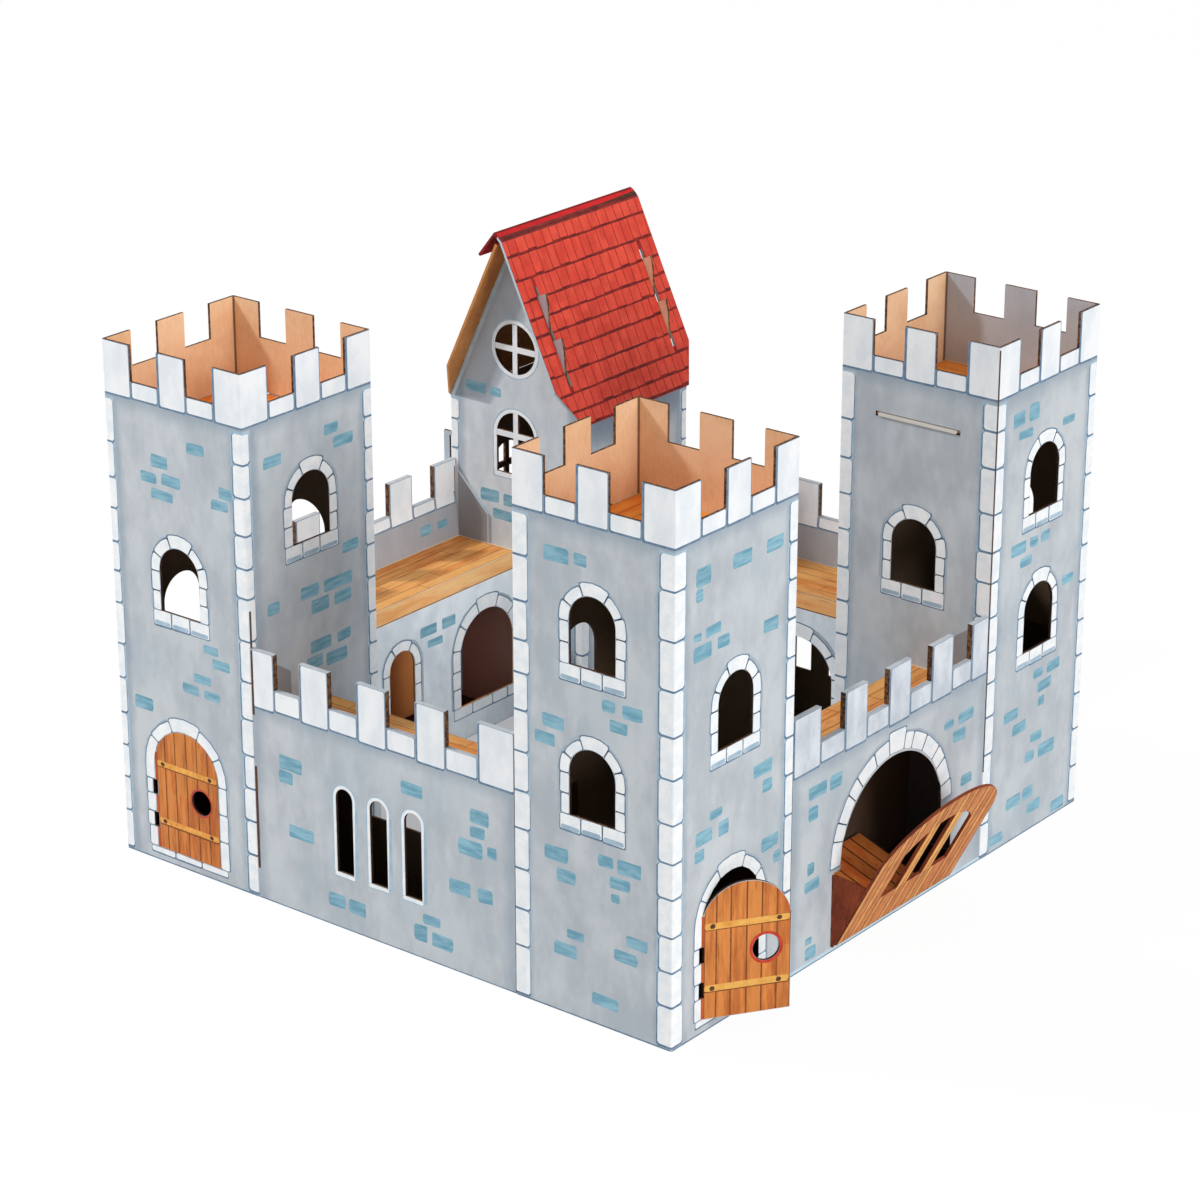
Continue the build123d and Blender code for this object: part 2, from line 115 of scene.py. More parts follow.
class Finish(Nodes):
    """A material in the making, with where on the card a point lies, in millimetres."""

    def __init__(self, name):
        self.material = bpy.data.materials.new(name)
        super().__init__(self.material)
        self.shader = self.tree.nodes["Principled BSDF"]
        coords = self.node("ShaderNodeTexCoord")
        self.spot = coords["Object"]
        self.x, self.y, self.z = [v * 1000 for v in self.parts(self.spot)]
        self.nx, self.ny, self.nz = self.parts(coords["Normal"])

    def parts(self, vector):
        split = self.node("ShaderNodeSeparateXYZ", None, {"Vector": vector})
        return split["X"], split["Y"], split["Z"]

    def blend(self, amount, first, second):
        """Colour: first where amount is 0, second where it is 1."""
        return self.node("ShaderNodeMix", {"data_type": "RGBA"}, {0: amount, 6: first, 7: second})["Result"]

    def shade(self, colour, amount):
        """Colour made lighter or darker by a value around 1."""
        return self.node("ShaderNodeVectorMath", {"operation": "SCALE"}, {"Vector": colour, "Scale": amount})["Vector"]

    def cloud(self, size, stretch=(1, 1, 1), detail=3.0, shift=0.0):
        """Soft noise whose patches are about size mm wide, drawn out by stretch."""
        scaled = self.node("ShaderNodeVectorMath", {"operation": "MULTIPLY_ADD"},
                           {0: self.spot, 1: tuple(1 / s for s in stretch), 2: (shift, shift, shift)})["Vector"]
        return self.node("ShaderNodeTexNoise", None,
                         {"Vector": scaled, "Scale": 1000 / size, "Detail": detail, "Roughness": 0.6})["Fac"]

    def tone(self):
        """The plate's own number, from -1 to 1."""
        return self.node("ShaderNodeAttribute", {"attribute_name": "tone"})["Fac"]

    def done(self, colour, rough, varied, deep, grain=None, specular=0.25, relief=None):
        """The material: roughness grows from rough with the grain, and the relief stands deep mm high."""
        grain = grain or self.cloud(0.9, detail=2)
        bump = self.node("ShaderNodeBump", None, {"Height": relief or grain, "Distance": deep * MM, "Strength": 0.4})
        for key, wire in (("Base Color", colour), ("Roughness", rough + varied * grain), ("Normal", bump["Normal"])):
            self.tree.links.new(wire.socket, self.shader.inputs[key])
        self.shader.inputs["Specular IOR Level"].default_value = specular
        return self.material


def bare_card(f, light=(246, 213, 176), dark=(229, 188, 144)):
    """Kraft liner: cloudy brown with short fibres."""
    clouds = f.cloud(38, detail=4)
    fibres = f.cloud(1.6, (1, 1, 3), detail=2)
    return f.blend((clouds * 0.7 + fibres * 0.3).ramp(0.34, 0.7), tint(*light), tint(*dark))


def cut_edge(f):
    """Sawn-looking edge of the card, with the dark mouths of its flutes."""
    flutes = f.cloud(2.4, detail=1)
    return f.blend(flutes.ramp(0.4, 0.62), tint(70, 46, 32), tint(128, 90, 60))


def stone_wash(f):
    """Grey watercolour ground: broad light and dark patches, a cooler wash and upright brush strokes."""
    broad = f.cloud(46, (1, 1, 1.3), detail=5)
    small = f.cloud(13, (1, 1, 2.2), detail=4, shift=3)
    cool = f.cloud(60, detail=3, shift=7)
    grain = f.cloud(1.3, detail=2)
    base = f.blend((broad * 0.65 + small * 0.35).ramp(0.36, 0.62), tint(182, 189, 196), tint(205, 211, 215))
    base = f.blend(cool.ramp(0.48, 0.72) * 0.3, base, tint(178, 195, 207))
    return f.shade(base, 0.97 + 0.06 * grain)


def card_colour(f, printed, edge):
    """Grey ground where printed is 1, cut edge where edge is 1, and bare kraft elsewhere."""
    return f.blend(edge, f.blend(printed, bare_card(f), stone_wash(f)), cut_edge(f))


def card_done(f, colour):
    paper = f.cloud(0.9, detail=2)
    return f.done(colour, 0.62, 0.16, 0.12, paper, relief=paper * 0.6 + f.cloud(14, detail=2) * 0.8)


SOFT_BLUE = tint(140, 157, 174)       # painted shadow on the grey ground
# Painted shade: bare card darkened to this brown where little light comes in.
SHADE_BROWN = tint(52, 34, 26)         # bare card where little light comes in


def tube_finish(f, cx, cy, band, lined=False, gabled=False):
    """A tower or the keep: soft blue beside the corner stones and below band, and painted shade in the inner creases
    and inside.
    Where lined, the door panel is printed on its inner side too, above the floor."""
    reach = (f.x - cx) * f.nx + (f.y - cy) * f.ny     # how far a face lies out from the axis
    outer = reach > SKIN
    inner = reach < 0
    printed = outer
    if lined:
        lining = (f.x - cx > 60) * (f.nx < -FACING) * (f.z > 307)
        printed = outer.most(lining)
    colour = card_colour(f, printed, abs(reach) < 57)
    nearest = abs(f.x - cx).least(abs(f.y - cy))
    wander = f.cloud(18, detail=3, shift=11) * 8
    beside = 1 - (HALF - nearest + wander).ramp(13, 21)
    height = f.z + wander
    if gabled:
        below = height.ramp(band - 26, band) * (abs(f.ny) > FACING)
        # Painted light: the keep's grey and card are made lighter, standing in for light that the roof keeps off.
        colour = f.shade(colour, 1.22)
    else:
        below = height.ramp(band - 9, band + 5)
    colour = f.blend((beside * 0.55).most(below * 0.6) * outer, colour, SOFT_BLUE)
    if lined:
        colour = f.blend(lining * 0.5, colour, tint(168, 180, 196))
    if gabled:
        def off_slope(y):
            """How far a point lies out from the gable's slope, y being how far it lies out from the eave."""
            return y * 0.904 + (f.z - band) * 0.428

        # Painted shadow of the back roof sheet's overhang: a darker band along the gable's slope, with painted shade
        # under the eaves darker still.
        roof_shadow = (off_slope(f.y - cy - HALF) + wander * 0.4).ramp(-36, -31) * (f.z > band) * (abs(f.nx) > FACING)
        colour = f.blend((roof_shadow * 0.42).most(below * 0.5) * outer, colour, tint(92, 112, 134))
        dark = inner * (off_slope(abs(f.y - cy) - HALF) < 0.5)
    else:
        dark = inner * (f.z < 304)
    # Painted shade in the inner corner creases: a dark brown line along each corner.
    colour = f.blend((nearest > 59.4) * inner * 0.7, colour, tint(84, 52, 34))
    # Painted shade: the inside below the floor, and the keep's inside under the roof, turn dark brown.
    colour = f.blend(dark * 0.85, colour, SHADE_BROWN)
    # Painted shade: faces that a wall's hollow hides turn dark brown, a warm brown on the keep.
    across = abs(f.x * abs(f.nx) + f.y * abs(f.ny) - SPAN / 2)
    along = abs(f.y * abs(f.nx) + f.x * abs(f.ny) - SPAN / 2)
    shaded_in_hollow = (across < SPAN / 2 + 61) * (along > SPAN / 2 + 1) * (f.z < WALK - 2.5)     # a wall hides these faces
    return card_done(f, f.blend(shaded_in_hollow * 0.85, colour, tint(170, 115, 95) if gabled else SHADE_BROWN))


def wall_finish(f, wall, gate, lit):
    """A soft shadow lies under the battlements and beside the towers. The hollow is darkened with painted shade, less
    so about the doorway at lit, where painted light brightens it.
    """
    band = wall.notch - BLOCK
    x, nx = wall.measure(f, wall.along)
    y, ny = wall.measure(f, wall.inward)
    outer = (ny < -FACING) * (y < 0.7)
    yard = (ny > FACING) * (y > 62)
    edge = (abs(nx) > FACING) * (y < 5) * (y > -0.5)
    colour = card_colour(f, outer.most(yard).most(f.z > WALK + 0.4), edge)
    # Painted light: the yard faces are painted lighter, standing in for light that the front walls keep off them.
    colour = f.shade(colour, 1 + 0.5 * yard)
    wander = f.cloud(18, detail=3, shift=11) * 8
    beside = 1 - (WALL / 2 - abs(x - WALL / 2) + wander).ramp(6, 16)
    soft = beside.most((f.z + wander).ramp(band - 7, band + 5)) * 0.5
    colour = f.blend(soft * outer, colour, SOFT_BLUE)
    leaning = (ny > 0.5) * (y > 3.5) * (y < 9) * (f.z > WALK + 0.6)
    colour = f.blend(leaning * 0.45, colour, tint(150, 144, 148))
    # Painted shade darkens the hollow; in the wall with the doorway at lit it is lighter, and painted light brightens
    # it round the doorway.
    shaded_hollow = (f.z < WALK - 1.5) * (y > 0.7) * (y < 61.8) * (x > 0) * (x < WALL)
    hollow = tint(56, 38, 29)
    if lit:
        hollow = f.blend(abs(x - lit) < 24, tint(150, 100, 78), tint(255, 160, 84))
    colour = f.blend(shaded_hollow * 0.88, colour, hollow)
    # Painted shade on the walls' end wings above the walkway.
    shaded_wing = (abs(nx) > FACING) * (y > 8) * (y < 62) * (f.z > WALK + 0.6)
    colour = f.blend(shaded_wing * 0.6, colour, tint(118, 108, 106))
    if gate:      # brown of the leaf and the gusset, on all that stands out of the wall
        colour = f.blend(f.y < -HALF - 0.4, colour, bare_card(f, (164, 76, 42), (104, 42, 26)))
    return card_done(f, colour)


def roof_finish(f, front):
    """Printed red above, bare card below; the front sheet's flap and side edges are printed too."""
    red = f.blend(f.cloud(12, detail=3).ramp(0.35, 0.65), tint(176, 42, 36), tint(140, 26, 24))
    colour = f.blend(f.nz > 0.2, bare_card(f, (216, 150, 88), (178, 112, 58)), red)
    if front:
        colour = f.blend(f.nx < -FACING, colour, tint(196, 212, 222))
        # Painted shade: the flap over the ridge is the red made darker.
        colour = f.blend(f.y > SPAN + 1.5, colour, f.shade(red, 0.7))
    return f.done(colour, 0.6, 0.15, 0.1)


def floor_finish(f, cx, cy):
    """Bare card; the tab that stands out of its slot is paler."""
    colour = f.blend(abs(f.x - cx).most(abs(f.y - cy)) > 60.6, bare_card(f), tint(222, 217, 208))
    return f.done(colour, 0.62, 0.15, 0.1)


def ink_finish(name, light, dark, size, streak=None, tone_share=0.05, rough=0.55):
    """A printed paint: two shades in soft patches, each plate a little lighter or darker than the next."""
    f = Finish(name)
    patches = f.cloud(size, streak or (1, 1, 1), detail=4)
    colour = f.blend(patches.ramp(0.34, 0.66), tint(*light), tint(*dark))
    speck = f.cloud(0.9, detail=2)
    colour = f.shade(colour, 0.98 + 0.04 * speck + tone_share * f.tone())
    return f.done(colour, rough, 0.12, 0.08, speck, 0.3)


def wood_finish(name, axis, light, dark):
    """Painted planks: grain drawn out along the axis, with darker veins."""
    f = Finish(name)

    def drawn_out(times):
        return tuple(times if i == axis else 1.0 for i in range(3))

    grain = f.cloud(3.2, drawn_out(9.0), detail=4)
    broad = f.cloud(16, drawn_out(4.0), detail=3, shift=5)
    veins = f.cloud(2.2, drawn_out(16.0), detail=2, shift=9)
    colour = f.blend((grain * 0.6 + broad * 0.5 + 0.08 * f.tone()).ramp(0.38, 0.75), tint(*light), tint(*dark))
    colour = f.blend(veins.ramp(0.62, 0.72) * 0.55, colour, tint(150, 82, 34))
    return f.done(f.shade(colour, 1 + 0.1 * f.tone()), 0.55, 0.15, 0.1, grain, 0.3)


# Light and dark shade of each paint, size of its patches in mm, and what else it has of its own.
PAINTS = {
    "stone_white": ((254, 255, 255), (238, 244, 249), 9, None, 0.015),
    "tooth_white": ((250, 252, 254), (234, 240, 245), 16, (1, 1, 2), 0.015),
    "tooth_grey": ((228, 233, 240), (200, 208, 218), 16, (1, 1, 2), 0.03),
    "brick_teal": ((148, 192, 209), (108, 162, 183), 3.0, (6, 6, 1), 0.06),
    "slate_line": ((92, 120, 148), (118, 146, 170), 5),
    "slate_soft": ((158, 186, 205), (180, 202, 217), 10),
    "edge_pale": ((206, 230, 240), (186, 214, 228), 10),
    "shade_wash": ((168, 181, 193), (184, 195, 204), 12),
    "plank_line": ((112, 58, 24), (144, 80, 34), 6),
    # Dark brown of the door's nails; also painted shade in slots and in the gap under the ridge strip.
    "nails_and_gap_shade": ((70, 42, 26), (98, 60, 36), 3),
    # Painted shade in an open seam and in a slot.
    "seam_and_slot_shade": ((104, 84, 76), (74, 52, 44), 14, (1, 1, 3)),
    "rim_red": ((208, 68, 38), (182, 50, 28), 5),
    "tile_red": ((236, 82, 60), (218, 64, 46), 9, (1, 2, 2), 0.06, 0.5),
    "tile_joint": ((156, 34, 28), (184, 46, 36), 6),
    "tile_line": ((96, 20, 18), (150, 34, 28), 9),
    "ridge_red": ((222, 34, 38), (200, 26, 32), 12, None, 0.03),
    # Painted shade in the ridge's crease.
    "ridge_crease_shade": ((92, 40, 36), (138, 56, 48), 14),
}
# Axis along which the grain runs (0 x, 1 y, 2 z), light and dark shade.
WOODS = {
    "wood_door": (2, (230, 144, 70), (178, 92, 36)),
    "wood_warm": (2, (200, 98, 44), (164, 70, 32)),
    "wood_leaf": (2, (224, 146, 78), (182, 104, 50)),
    # The ramp's wood is painted as light as it goes: painted light on the passage floor, which lies in shade.
    "wood_ramp_painted_light": (1, (255, 158, 80), (242, 114, 50)),
    "wood_bar": (0, (248, 188, 94), (224, 146, 60)),
    "wood_slat": (2, (248, 190, 104), (220, 146, 66)),
}
INKS = {name: ink_finish(name, *paint) for name, paint in PAINTS.items()}
for axis, letter in enumerate("xy"):
    WOODS["wood_along_" + letter] = (axis, (250, 184, 106), (214, 124, 54))
    # The lip's wood is painted lighter than the walkway's: painted light where the lip stands in shade.
    WOODS["lip_painted_light_" + letter] = (axis, (255, 206, 142), (246, 168, 98))
    WOODS["floor_" + letter] = (axis, (255, 172, 76), (236, 116, 40))
INKS.update({name: wood_finish(name, *wood) for name, wood in WOODS.items()})


# Where print lies

class Panel:
    """A flat face of the card as one looks at it: u to the right, v up, w standing out of it."""

    def __init__(self, origin, right, up=(0, 0, 1)):
        self.origin = Vector(origin)
        self.right = Vector(right).normalized()
        self.up = Vector(up).normalized()
        self.out = self.right.cross(self.up)

    def at(self, u, v, w=0.0):
        return (self.origin + self.right * u + self.up * v + self.out * w) * MM


class Fold:
    """Runs over a rounded corner: s below 0 lies on the left panel, above 0 on the right one."""

    def __init__(self, faces, corner):
        self.left = faces[corner]
        self.right = faces[(corner + 1) % 4]
        self.bends = [BEND * k / 2 for k in range(-2, 3)]

    def at(self, s, v, w):
        if s <= -BEND:
            return self.left.at(2 * HALF + s, v, w)
        if s >= BEND:
            return self.right.at(s, v, w)
        turn = (s + BEND) / (2 * BEND) * math.pi / 2
        out = self.left.out * math.cos(turn) + self.right.out * math.sin(turn)
        middle = self.right.origin - (self.left.out + self.right.out) * BEND
        return (middle + out * (BEND + w) + UP * v) * MM


class Arch:
    """Runs round an opening: s from its left foot over the top to its right foot, v out from its edge."""

    def __init__(self, panel, middle, foot, width, height):
        self.panel = panel
        self.middle = middle
        self.foot = foot
        self.half = width / 2
        self.side = height - self.half
        self.length = 2 * self.side + math.pi * self.half
        self.bends = [self.side + math.pi * self.half * k / 14 for k in range(15)]
        self.spots = sorted({0.0, self.length, *self.bends})

    def at(self, s, v, w):
        if s <= self.side:
            return self.panel.at(self.middle - self.half - v, self.foot + s, w)
        over = (s - self.side) / self.half
        if over < math.pi:
            return self.panel.at(self.middle - (self.half + v) * math.cos(over),
                                 self.foot + self.side + (self.half + v) * math.sin(over), w)
        return self.panel.at(self.middle + self.half + v, self.foot + self.length - s, w)


def ring_of(panel, cu, cv, radius):
    """Runs round a circle, v out from it."""
    def at(s, v, w):
        a = s / radius
        return panel.at(cu + (radius + v) * math.cos(a), cv + (radius + v) * math.sin(a), w)
    return at


def level(v):
    """A height that is the same all along."""
    return lambda u: v


class Print:
    """Everything printed on one sheet of card, as closed plates in one mesh."""

    def __init__(self, slot, seed):
        self.slot = slot
        self.shape = bmesh.new()
        self.tone = self.shape.faces.layers.float.new("tone")
        self.inks = []
        self.chance = random.Random(seed)

    def jog(self, size):
        return self.chance.uniform(-size, size)

    def strip(self, at, columns, ink, lift):
        """A plate over columns (s, low, high) of the surface that at() gives."""
        if ink not in self.inks:
            self.inks.append(ink)
        tone = self.jog(1)
        rows = [[self.shape.verts.new(at(s, v, w)) for v, w in
                 ((low, lift), (high, lift), (high, -SUNK), (low, -SUNK))] for s, low, high in columns]
        faces = [self.shape.faces.new(rows[0]), self.shape.faces.new(rows[-1])]
        for this, following in zip(rows, rows[1:]):
            for k in range(4):
                faces.append(self.shape.faces.new((this[k], this[k - 3], following[k - 3], following[k])))
        for face in faces:
            face.material_index = self.inks.index(ink)
            face[self.tone] = tone

    def block(self, place, s0, s1, v0, v1, ink, lift, wobble=0.25, nose=0.9):
        """A hand-painted block: blunt corners and a slightly unsteady outline."""
        nose = min(nose, (s1 - s0) / 3, (v1 - v0) / 3)
        bends = [b for b in getattr(place, "bends", ()) if s0 + nose + 0.2 < b < s1 - nose - 0.2]
        low = [v0 + self.jog(wobble), v0 + self.jog(wobble)]
        high = [v1 + self.jog(wobble), v1 + self.jog(wobble)]
        columns = [(s0 + self.jog(wobble) / 2, v0 + nose, v1 - nose)]
        for s in [s0 + nose, *bends, s1 - nose]:
            t = (s - s0) / (s1 - s0)
            columns.append((s, low[0] + (low[1] - low[0]) * t, high[0] + (high[1] - high[0]) * t))
        columns.append((s1 + self.jog(wobble) / 2, v0 + nose, v1 - nose))
        self.strip(place.at, columns, ink, lift)

    def outlined(self, place, s0, s1, v0, v1, inset, ink="stone_white", wobble=0.25, nose=0.9, lifts=(0.04, 0.07),
                 line="slate_line"):
        """A block over its outline; inset says how much of the outline shows at left, right, foot and head."""
        self.block(place, s0, s1, v0, v1, line, lifts[0], wobble, nose)
        self.block(place, s0 + inset[0], s1 - inset[1], v0 + inset[2], v1 - inset[3], ink, lifts[1], wobble, nose)

    def brick(self, place, u0, v0, u1, v1):
        tall = v1 - v0
        slant = self.jog(0.5)
        cut = [self.chance.uniform(0, 0.3) * tall for _ in range(4)]
        self.strip(place.at, [
            (u0 + self.jog(0.4), v0 + cut[0] + 0.1, v1 - cut[1] - 0.1),
            (u0 + 1.0, v0 + self.jog(0.3), v1 + self.jog(0.3)),
            (u1 - 0.9, v0 + self.jog(0.3) + slant, v1 + self.jog(0.3) + slant),
            (u1 + self.jog(0.4), v0 + cut[2] + 0.1 + slant, v1 - cut[3] - 0.1 + slant)], "brick_teal", 0.03)

    def planks(self, place, edges, low, high, ink, lift, gap, steps):
        """Planks side by side; low(u) and high(u) give where each ends."""
        for a, b in zip(edges, edges[1:]):
            a += gap / 2
            b -= gap / 2
            us = [a + (b - a) * k / steps for k in range(steps + 1)]
            if max(high(u) - low(u) for u in us) > 0.5:
                self.strip(place.at, [(u, low(u), max(high(u), low(u) + 0.05)) for u in us], ink, lift)

    def hang(self):
        bmesh.ops.recalc_face_normals(self.shape, faces=self.shape.faces)
        mesh = bpy.data.meshes.new(self.slot + "_print")
        self.shape.to_mesh(mesh)
        self.shape.free()
        for ink in self.inks:
            mesh.materials.append(INKS[ink])
        piece = bpy.data.objects.new(mesh.name, mesh)
        bpy.context.scene.collection.objects.link(piece)
        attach(piece, "root")


# Towers

SIDE = 2 * HALF
WINDOW_W, WINDOW_H = 36.0, 48.0
TOOTH = 25.0
TOP = 370.0
BAND = 333.0          # foot of the white blocks under the battlements
HINGES = (25.0, 36.0, 49.5, 60.5)     # feet and heads of the two slots at the door's crease
DOOR_LEFT, DOOR_W, DOOR_FOOT, DOOR_TOP = 30.5, 60.0, 10.0, 102.5
HOLE_X, HOLE_Z, HOLE_R = 43.5, 54.5, 9.0
OPEN_DEG = 34.0
# Middle of each tower, and its quarter turns to the left
TOWERS = {"near": (0, 0, 0), "left": (0, SPAN, -1), "right": (SPAN, 0, 1)}

# Heights of the joints between corner stones, and stray bricks (left, foot, right, head), by panel of each tower.
# Panels and corners are numbered round the sheet: 0 is left of the door panel, 1 the door panel, and so on;
# corner 0 lies between panels 0 and 1.
PLAIN_JOINTS = [
    (330, 303, 278, 252, 226, 199, 172, 146, 118, 92, 64, 38, 2),
    (330, 310, 288, 265, 243, 219, 195, 170, 147, 124, 98, 70, 40, 2),
    (330, 302, 272, 246, 224, 199, 171, 144, 118, 90, 62, 36, 2),
]
JOINTS = {
    "near": [(330, 306, 274, 242, 212, 184, 154, 128, 104, 78, 54, 30, 2), *PLAIN_JOINTS],
    "left": [(330, 299, 274, 252, 228, 207, 184, 154, 129, 103, 79, 55, 30, 2),
             (330, 308, 285, 259, 236, 215, 185, 156, 129, 103, 79, 55, 30, 2), *PLAIN_JOINTS[1:]],
    "right": [(330, 306, 277, 249, 223, 197, 170, 141, 114, 85, 58, 29, 2), PLAIN_JOINTS[0],
              (330, 296, 268, 242, 216, 188, 163, 138, 106, 78, 50, 26, 2),
              (330, 311, 285, 253, 226, 204, 179, 154, 131, 106, 78, 50, 26, 2)],
}
# How far corner stones reach to the left and right of each corner
REACHES = {"near": ((10.5, 10), (9, 8), (8, 8), (8, 12)), "left": ((8, 7), (9, 6), (8, 8), (8, 9)),
           "right": ((9, 8), (9, 8), (8, 10), (11, 10))}
BRICKS = {
    ("near", 0): [
        (25, 304, 44, 314), (48, 306, 58, 314), (70, 216, 80, 224), (86, 215, 101, 224), (76, 204, 90, 212),
        (23, 194, 40, 203), (17, 182, 33, 190), (24, 104, 43, 114), (34, 91, 49, 100), (67, 111, 79, 119),
        (82, 110, 101, 120), (76, 99, 92, 107), (77, 89, 84, 95), (89, 62, 106, 70), (80, 50, 98, 58),
        (42, 54, 56, 60), (32, 40, 50, 49), (62, 14, 83, 22)],
    ("near", 1): [
        (21, 302, 36, 314), (21, 293, 28, 301), (58, 303, 77, 313), (92, 303, 110, 312), (19, 268, 27, 273),
        (31, 267, 46, 274), (19, 254, 37, 264), (43, 256, 55, 264), (90, 251, 106, 260), (82, 156, 102, 165),
        (92, 143, 102, 152), (37, 144, 50, 150), (23, 131, 40, 140), (46, 130, 57, 140), (22, 120, 32, 128),
        (92, 102, 110, 111), (105, 90, 113, 98)],
    ("left", 1): [
        (74, 306, 90, 314), (41, 290, 56, 299), (31, 278, 45, 285), (50, 279, 67, 287), (40, 268, 60, 275),
        (102, 281, 114, 289), (95, 272, 110, 279), (82, 167, 96, 173), (90, 158, 106, 165), (72, 144, 88, 150),
        (61, 134, 76, 141), (81, 134, 96, 140), (15, 111, 32, 120)],
    ("left", 2): [
        (19, 300, 36, 308), (77, 308, 91, 315), (86, 297, 105, 305), (92, 220, 108, 228), (18, 198, 30, 206),
        (50, 199, 68, 208), (73, 198, 101, 207), (60, 186, 78, 196), (83, 186, 100, 195), (58, 158, 79, 167),
        (85, 158, 98, 166), (54, 147, 70, 156), (73, 145, 94, 154)],
    ("right", 0): [
        (20, 308, 34, 318), (40, 308, 52, 320), (28, 298, 45, 304), (83, 294, 98, 300), (24, 215, 43, 224),
        (48, 216, 58, 223), (62, 216, 73, 223), (36, 204, 51, 211), (92, 175, 107, 182), (60, 115, 72, 122),
        (78, 114, 94, 122), (67, 103, 84, 111), (68, 92, 76, 99), (24, 93, 42, 101), (36, 80, 53, 88),
        (60, 67, 75, 74), (54, 54, 66, 62), (71, 52, 92, 62), (32, 25, 50, 34), (53, 25, 66, 34), (60, 13, 77, 21),
        (12, 5, 29, 12), (92, 2, 109, 11)],
}
BRICKS["near", 2] = BRICKS["right", 2] = BRICKS["left", 2]
BRICKS["left", 0] = BRICKS["right", 0]
BRICKS["right", 1] = BRICKS["left", 1]


def square_panels(cx, cy, turn):
    """The four outer faces of a square tube, in the sheet's order; turn is in quarter turns to the left."""
    ways = [Vector(way) for way in ((0, -1, 0), (1, 0, 0), (0, 1, 0), (-1, 0, 0))]
    faces = []
    for k in range(4):
        right = ways[(k + turn) % 4]
        faces.append(Panel(Vector((cx, cy, 0)) + (right.cross(UP) - right) * HALF, right))
    return faces


def dress_opening(ink, arch, ring, cuts, key, key_rise=1.3, recess=None):
    """Soft shade, outlined stones and the keystone round an opening; recess moves a stone's inner edge out."""
    recess = recess or {}
    inner = max([0.3, *recess.values()])
    ink.strip(arch.at, [(s, inner, ring + 2.6 + ink.jog(0.5)) for s in arch.spots], "shade_wash", 0.02)
    joint = 0.9
    lap = 0 if recess else joint * 0.3
    cuts = [c * arch.length for c in cuts]
    for k, (a, b) in enumerate(zip(cuts, cuts[1:])):
        top = ring * (key_rise if k == key else 1) + ink.jog(0.8)
        foot = recess.get(k, 0.25)
        ink.block(arch, a - lap, b + lap, foot, top + joint, "slate_line", 0.04, 0.15)
        ink.block(arch, a + joint / 2, b - joint / 2, foot + 0.1, top, "stone_white", 0.07, 0.2)


def dress_window(ink, panel, foot):
    """Stones round a tower's window, and its sill of three."""
    ring = 7.0
    dress_opening(ink, Arch(panel, HALF, foot, WINDOW_W, WINDOW_H), ring,
                  (0, 0.12, 0.24, 0.33, 0.44, 0.58, 0.68, 0.78, 0.89, 1.0), 4)
    wide = WINDOW_W / 2 + ring + 1
    cuts = [HALF + wide * share for share in (-1, -0.35, 0.3, 1)]
    for a, b in zip(cuts, cuts[1:]):
        low = foot - 11.5 + ink.jog(0.8)
        ink.outlined(panel, a, b + 0.4, low, foot - 0.2, (0.6, 0.8, 1.1, 0.1))
        ink.block(panel, a + 1.2, b - 1.2, low + 1.3, low + 4.3, "slate_soft", 0.08)


def dress_battlements(ink, faces):
    """White blocks: one up each tooth, a low one under each gap."""
    for k, face in enumerate(faces):
        reach = TOOTH - 0.15
        sides = ((Fold(faces, k), -reach, reach, 1.8, 0.6), (face, 2 * TOOTH + 0.15, 3 * TOOTH - 0.15, 1.85, 0.55))
        for place, s0, s1, left, right in sides:
            ink.outlined(place, s0, s1, BAND - 0.6, TOP - 0.1, (left, right, 1.5, 0.25), "tooth_white", 0.15)
        for a in (TOOTH, 3 * TOOTH):
            ink.outlined(face, a + 0.3, a + TOOTH - 0.2, BAND - 0.2, TOP - TOOTH - 0.1, (1.3, 0.6, 1.4, 0.2),
                         "tooth_white", 0.15, lifts=(0.03, 0.07))


def dress_corner(ink, fold, joints, reach_left, reach_right):
    """Corner stones wrapped round a corner, with soft blue at both sides and slate joints."""
    spots = [-reach_left - 1.8, -reach_left, *fold.bends, reach_right, reach_right + 1.2]
    ink.strip(fold.at, [(s, joints[-1], joints[0] + 1) for s in spots], "slate_soft", 0.03)
    for head, foot in zip(joints, joints[1:]):
        left = reach_left + ink.jog(0.9)
        right = reach_right + ink.jog(0.9)
        ink.block(fold, -left - 1.1, right + 0.5, foot - 0.5, head - 0.9, "slate_line", 0.05, 0.2, 1.6)
        ink.block(fold, -left, right, foot + 0.9, head - 0.7, "stone_white", 0.08, 0.2, 1.5)


def door_arch(u):
    half = DOOR_W / 2
    return DOOR_TOP - half + math.sqrt(max(half ** 2 - (u - half) ** 2, 0))


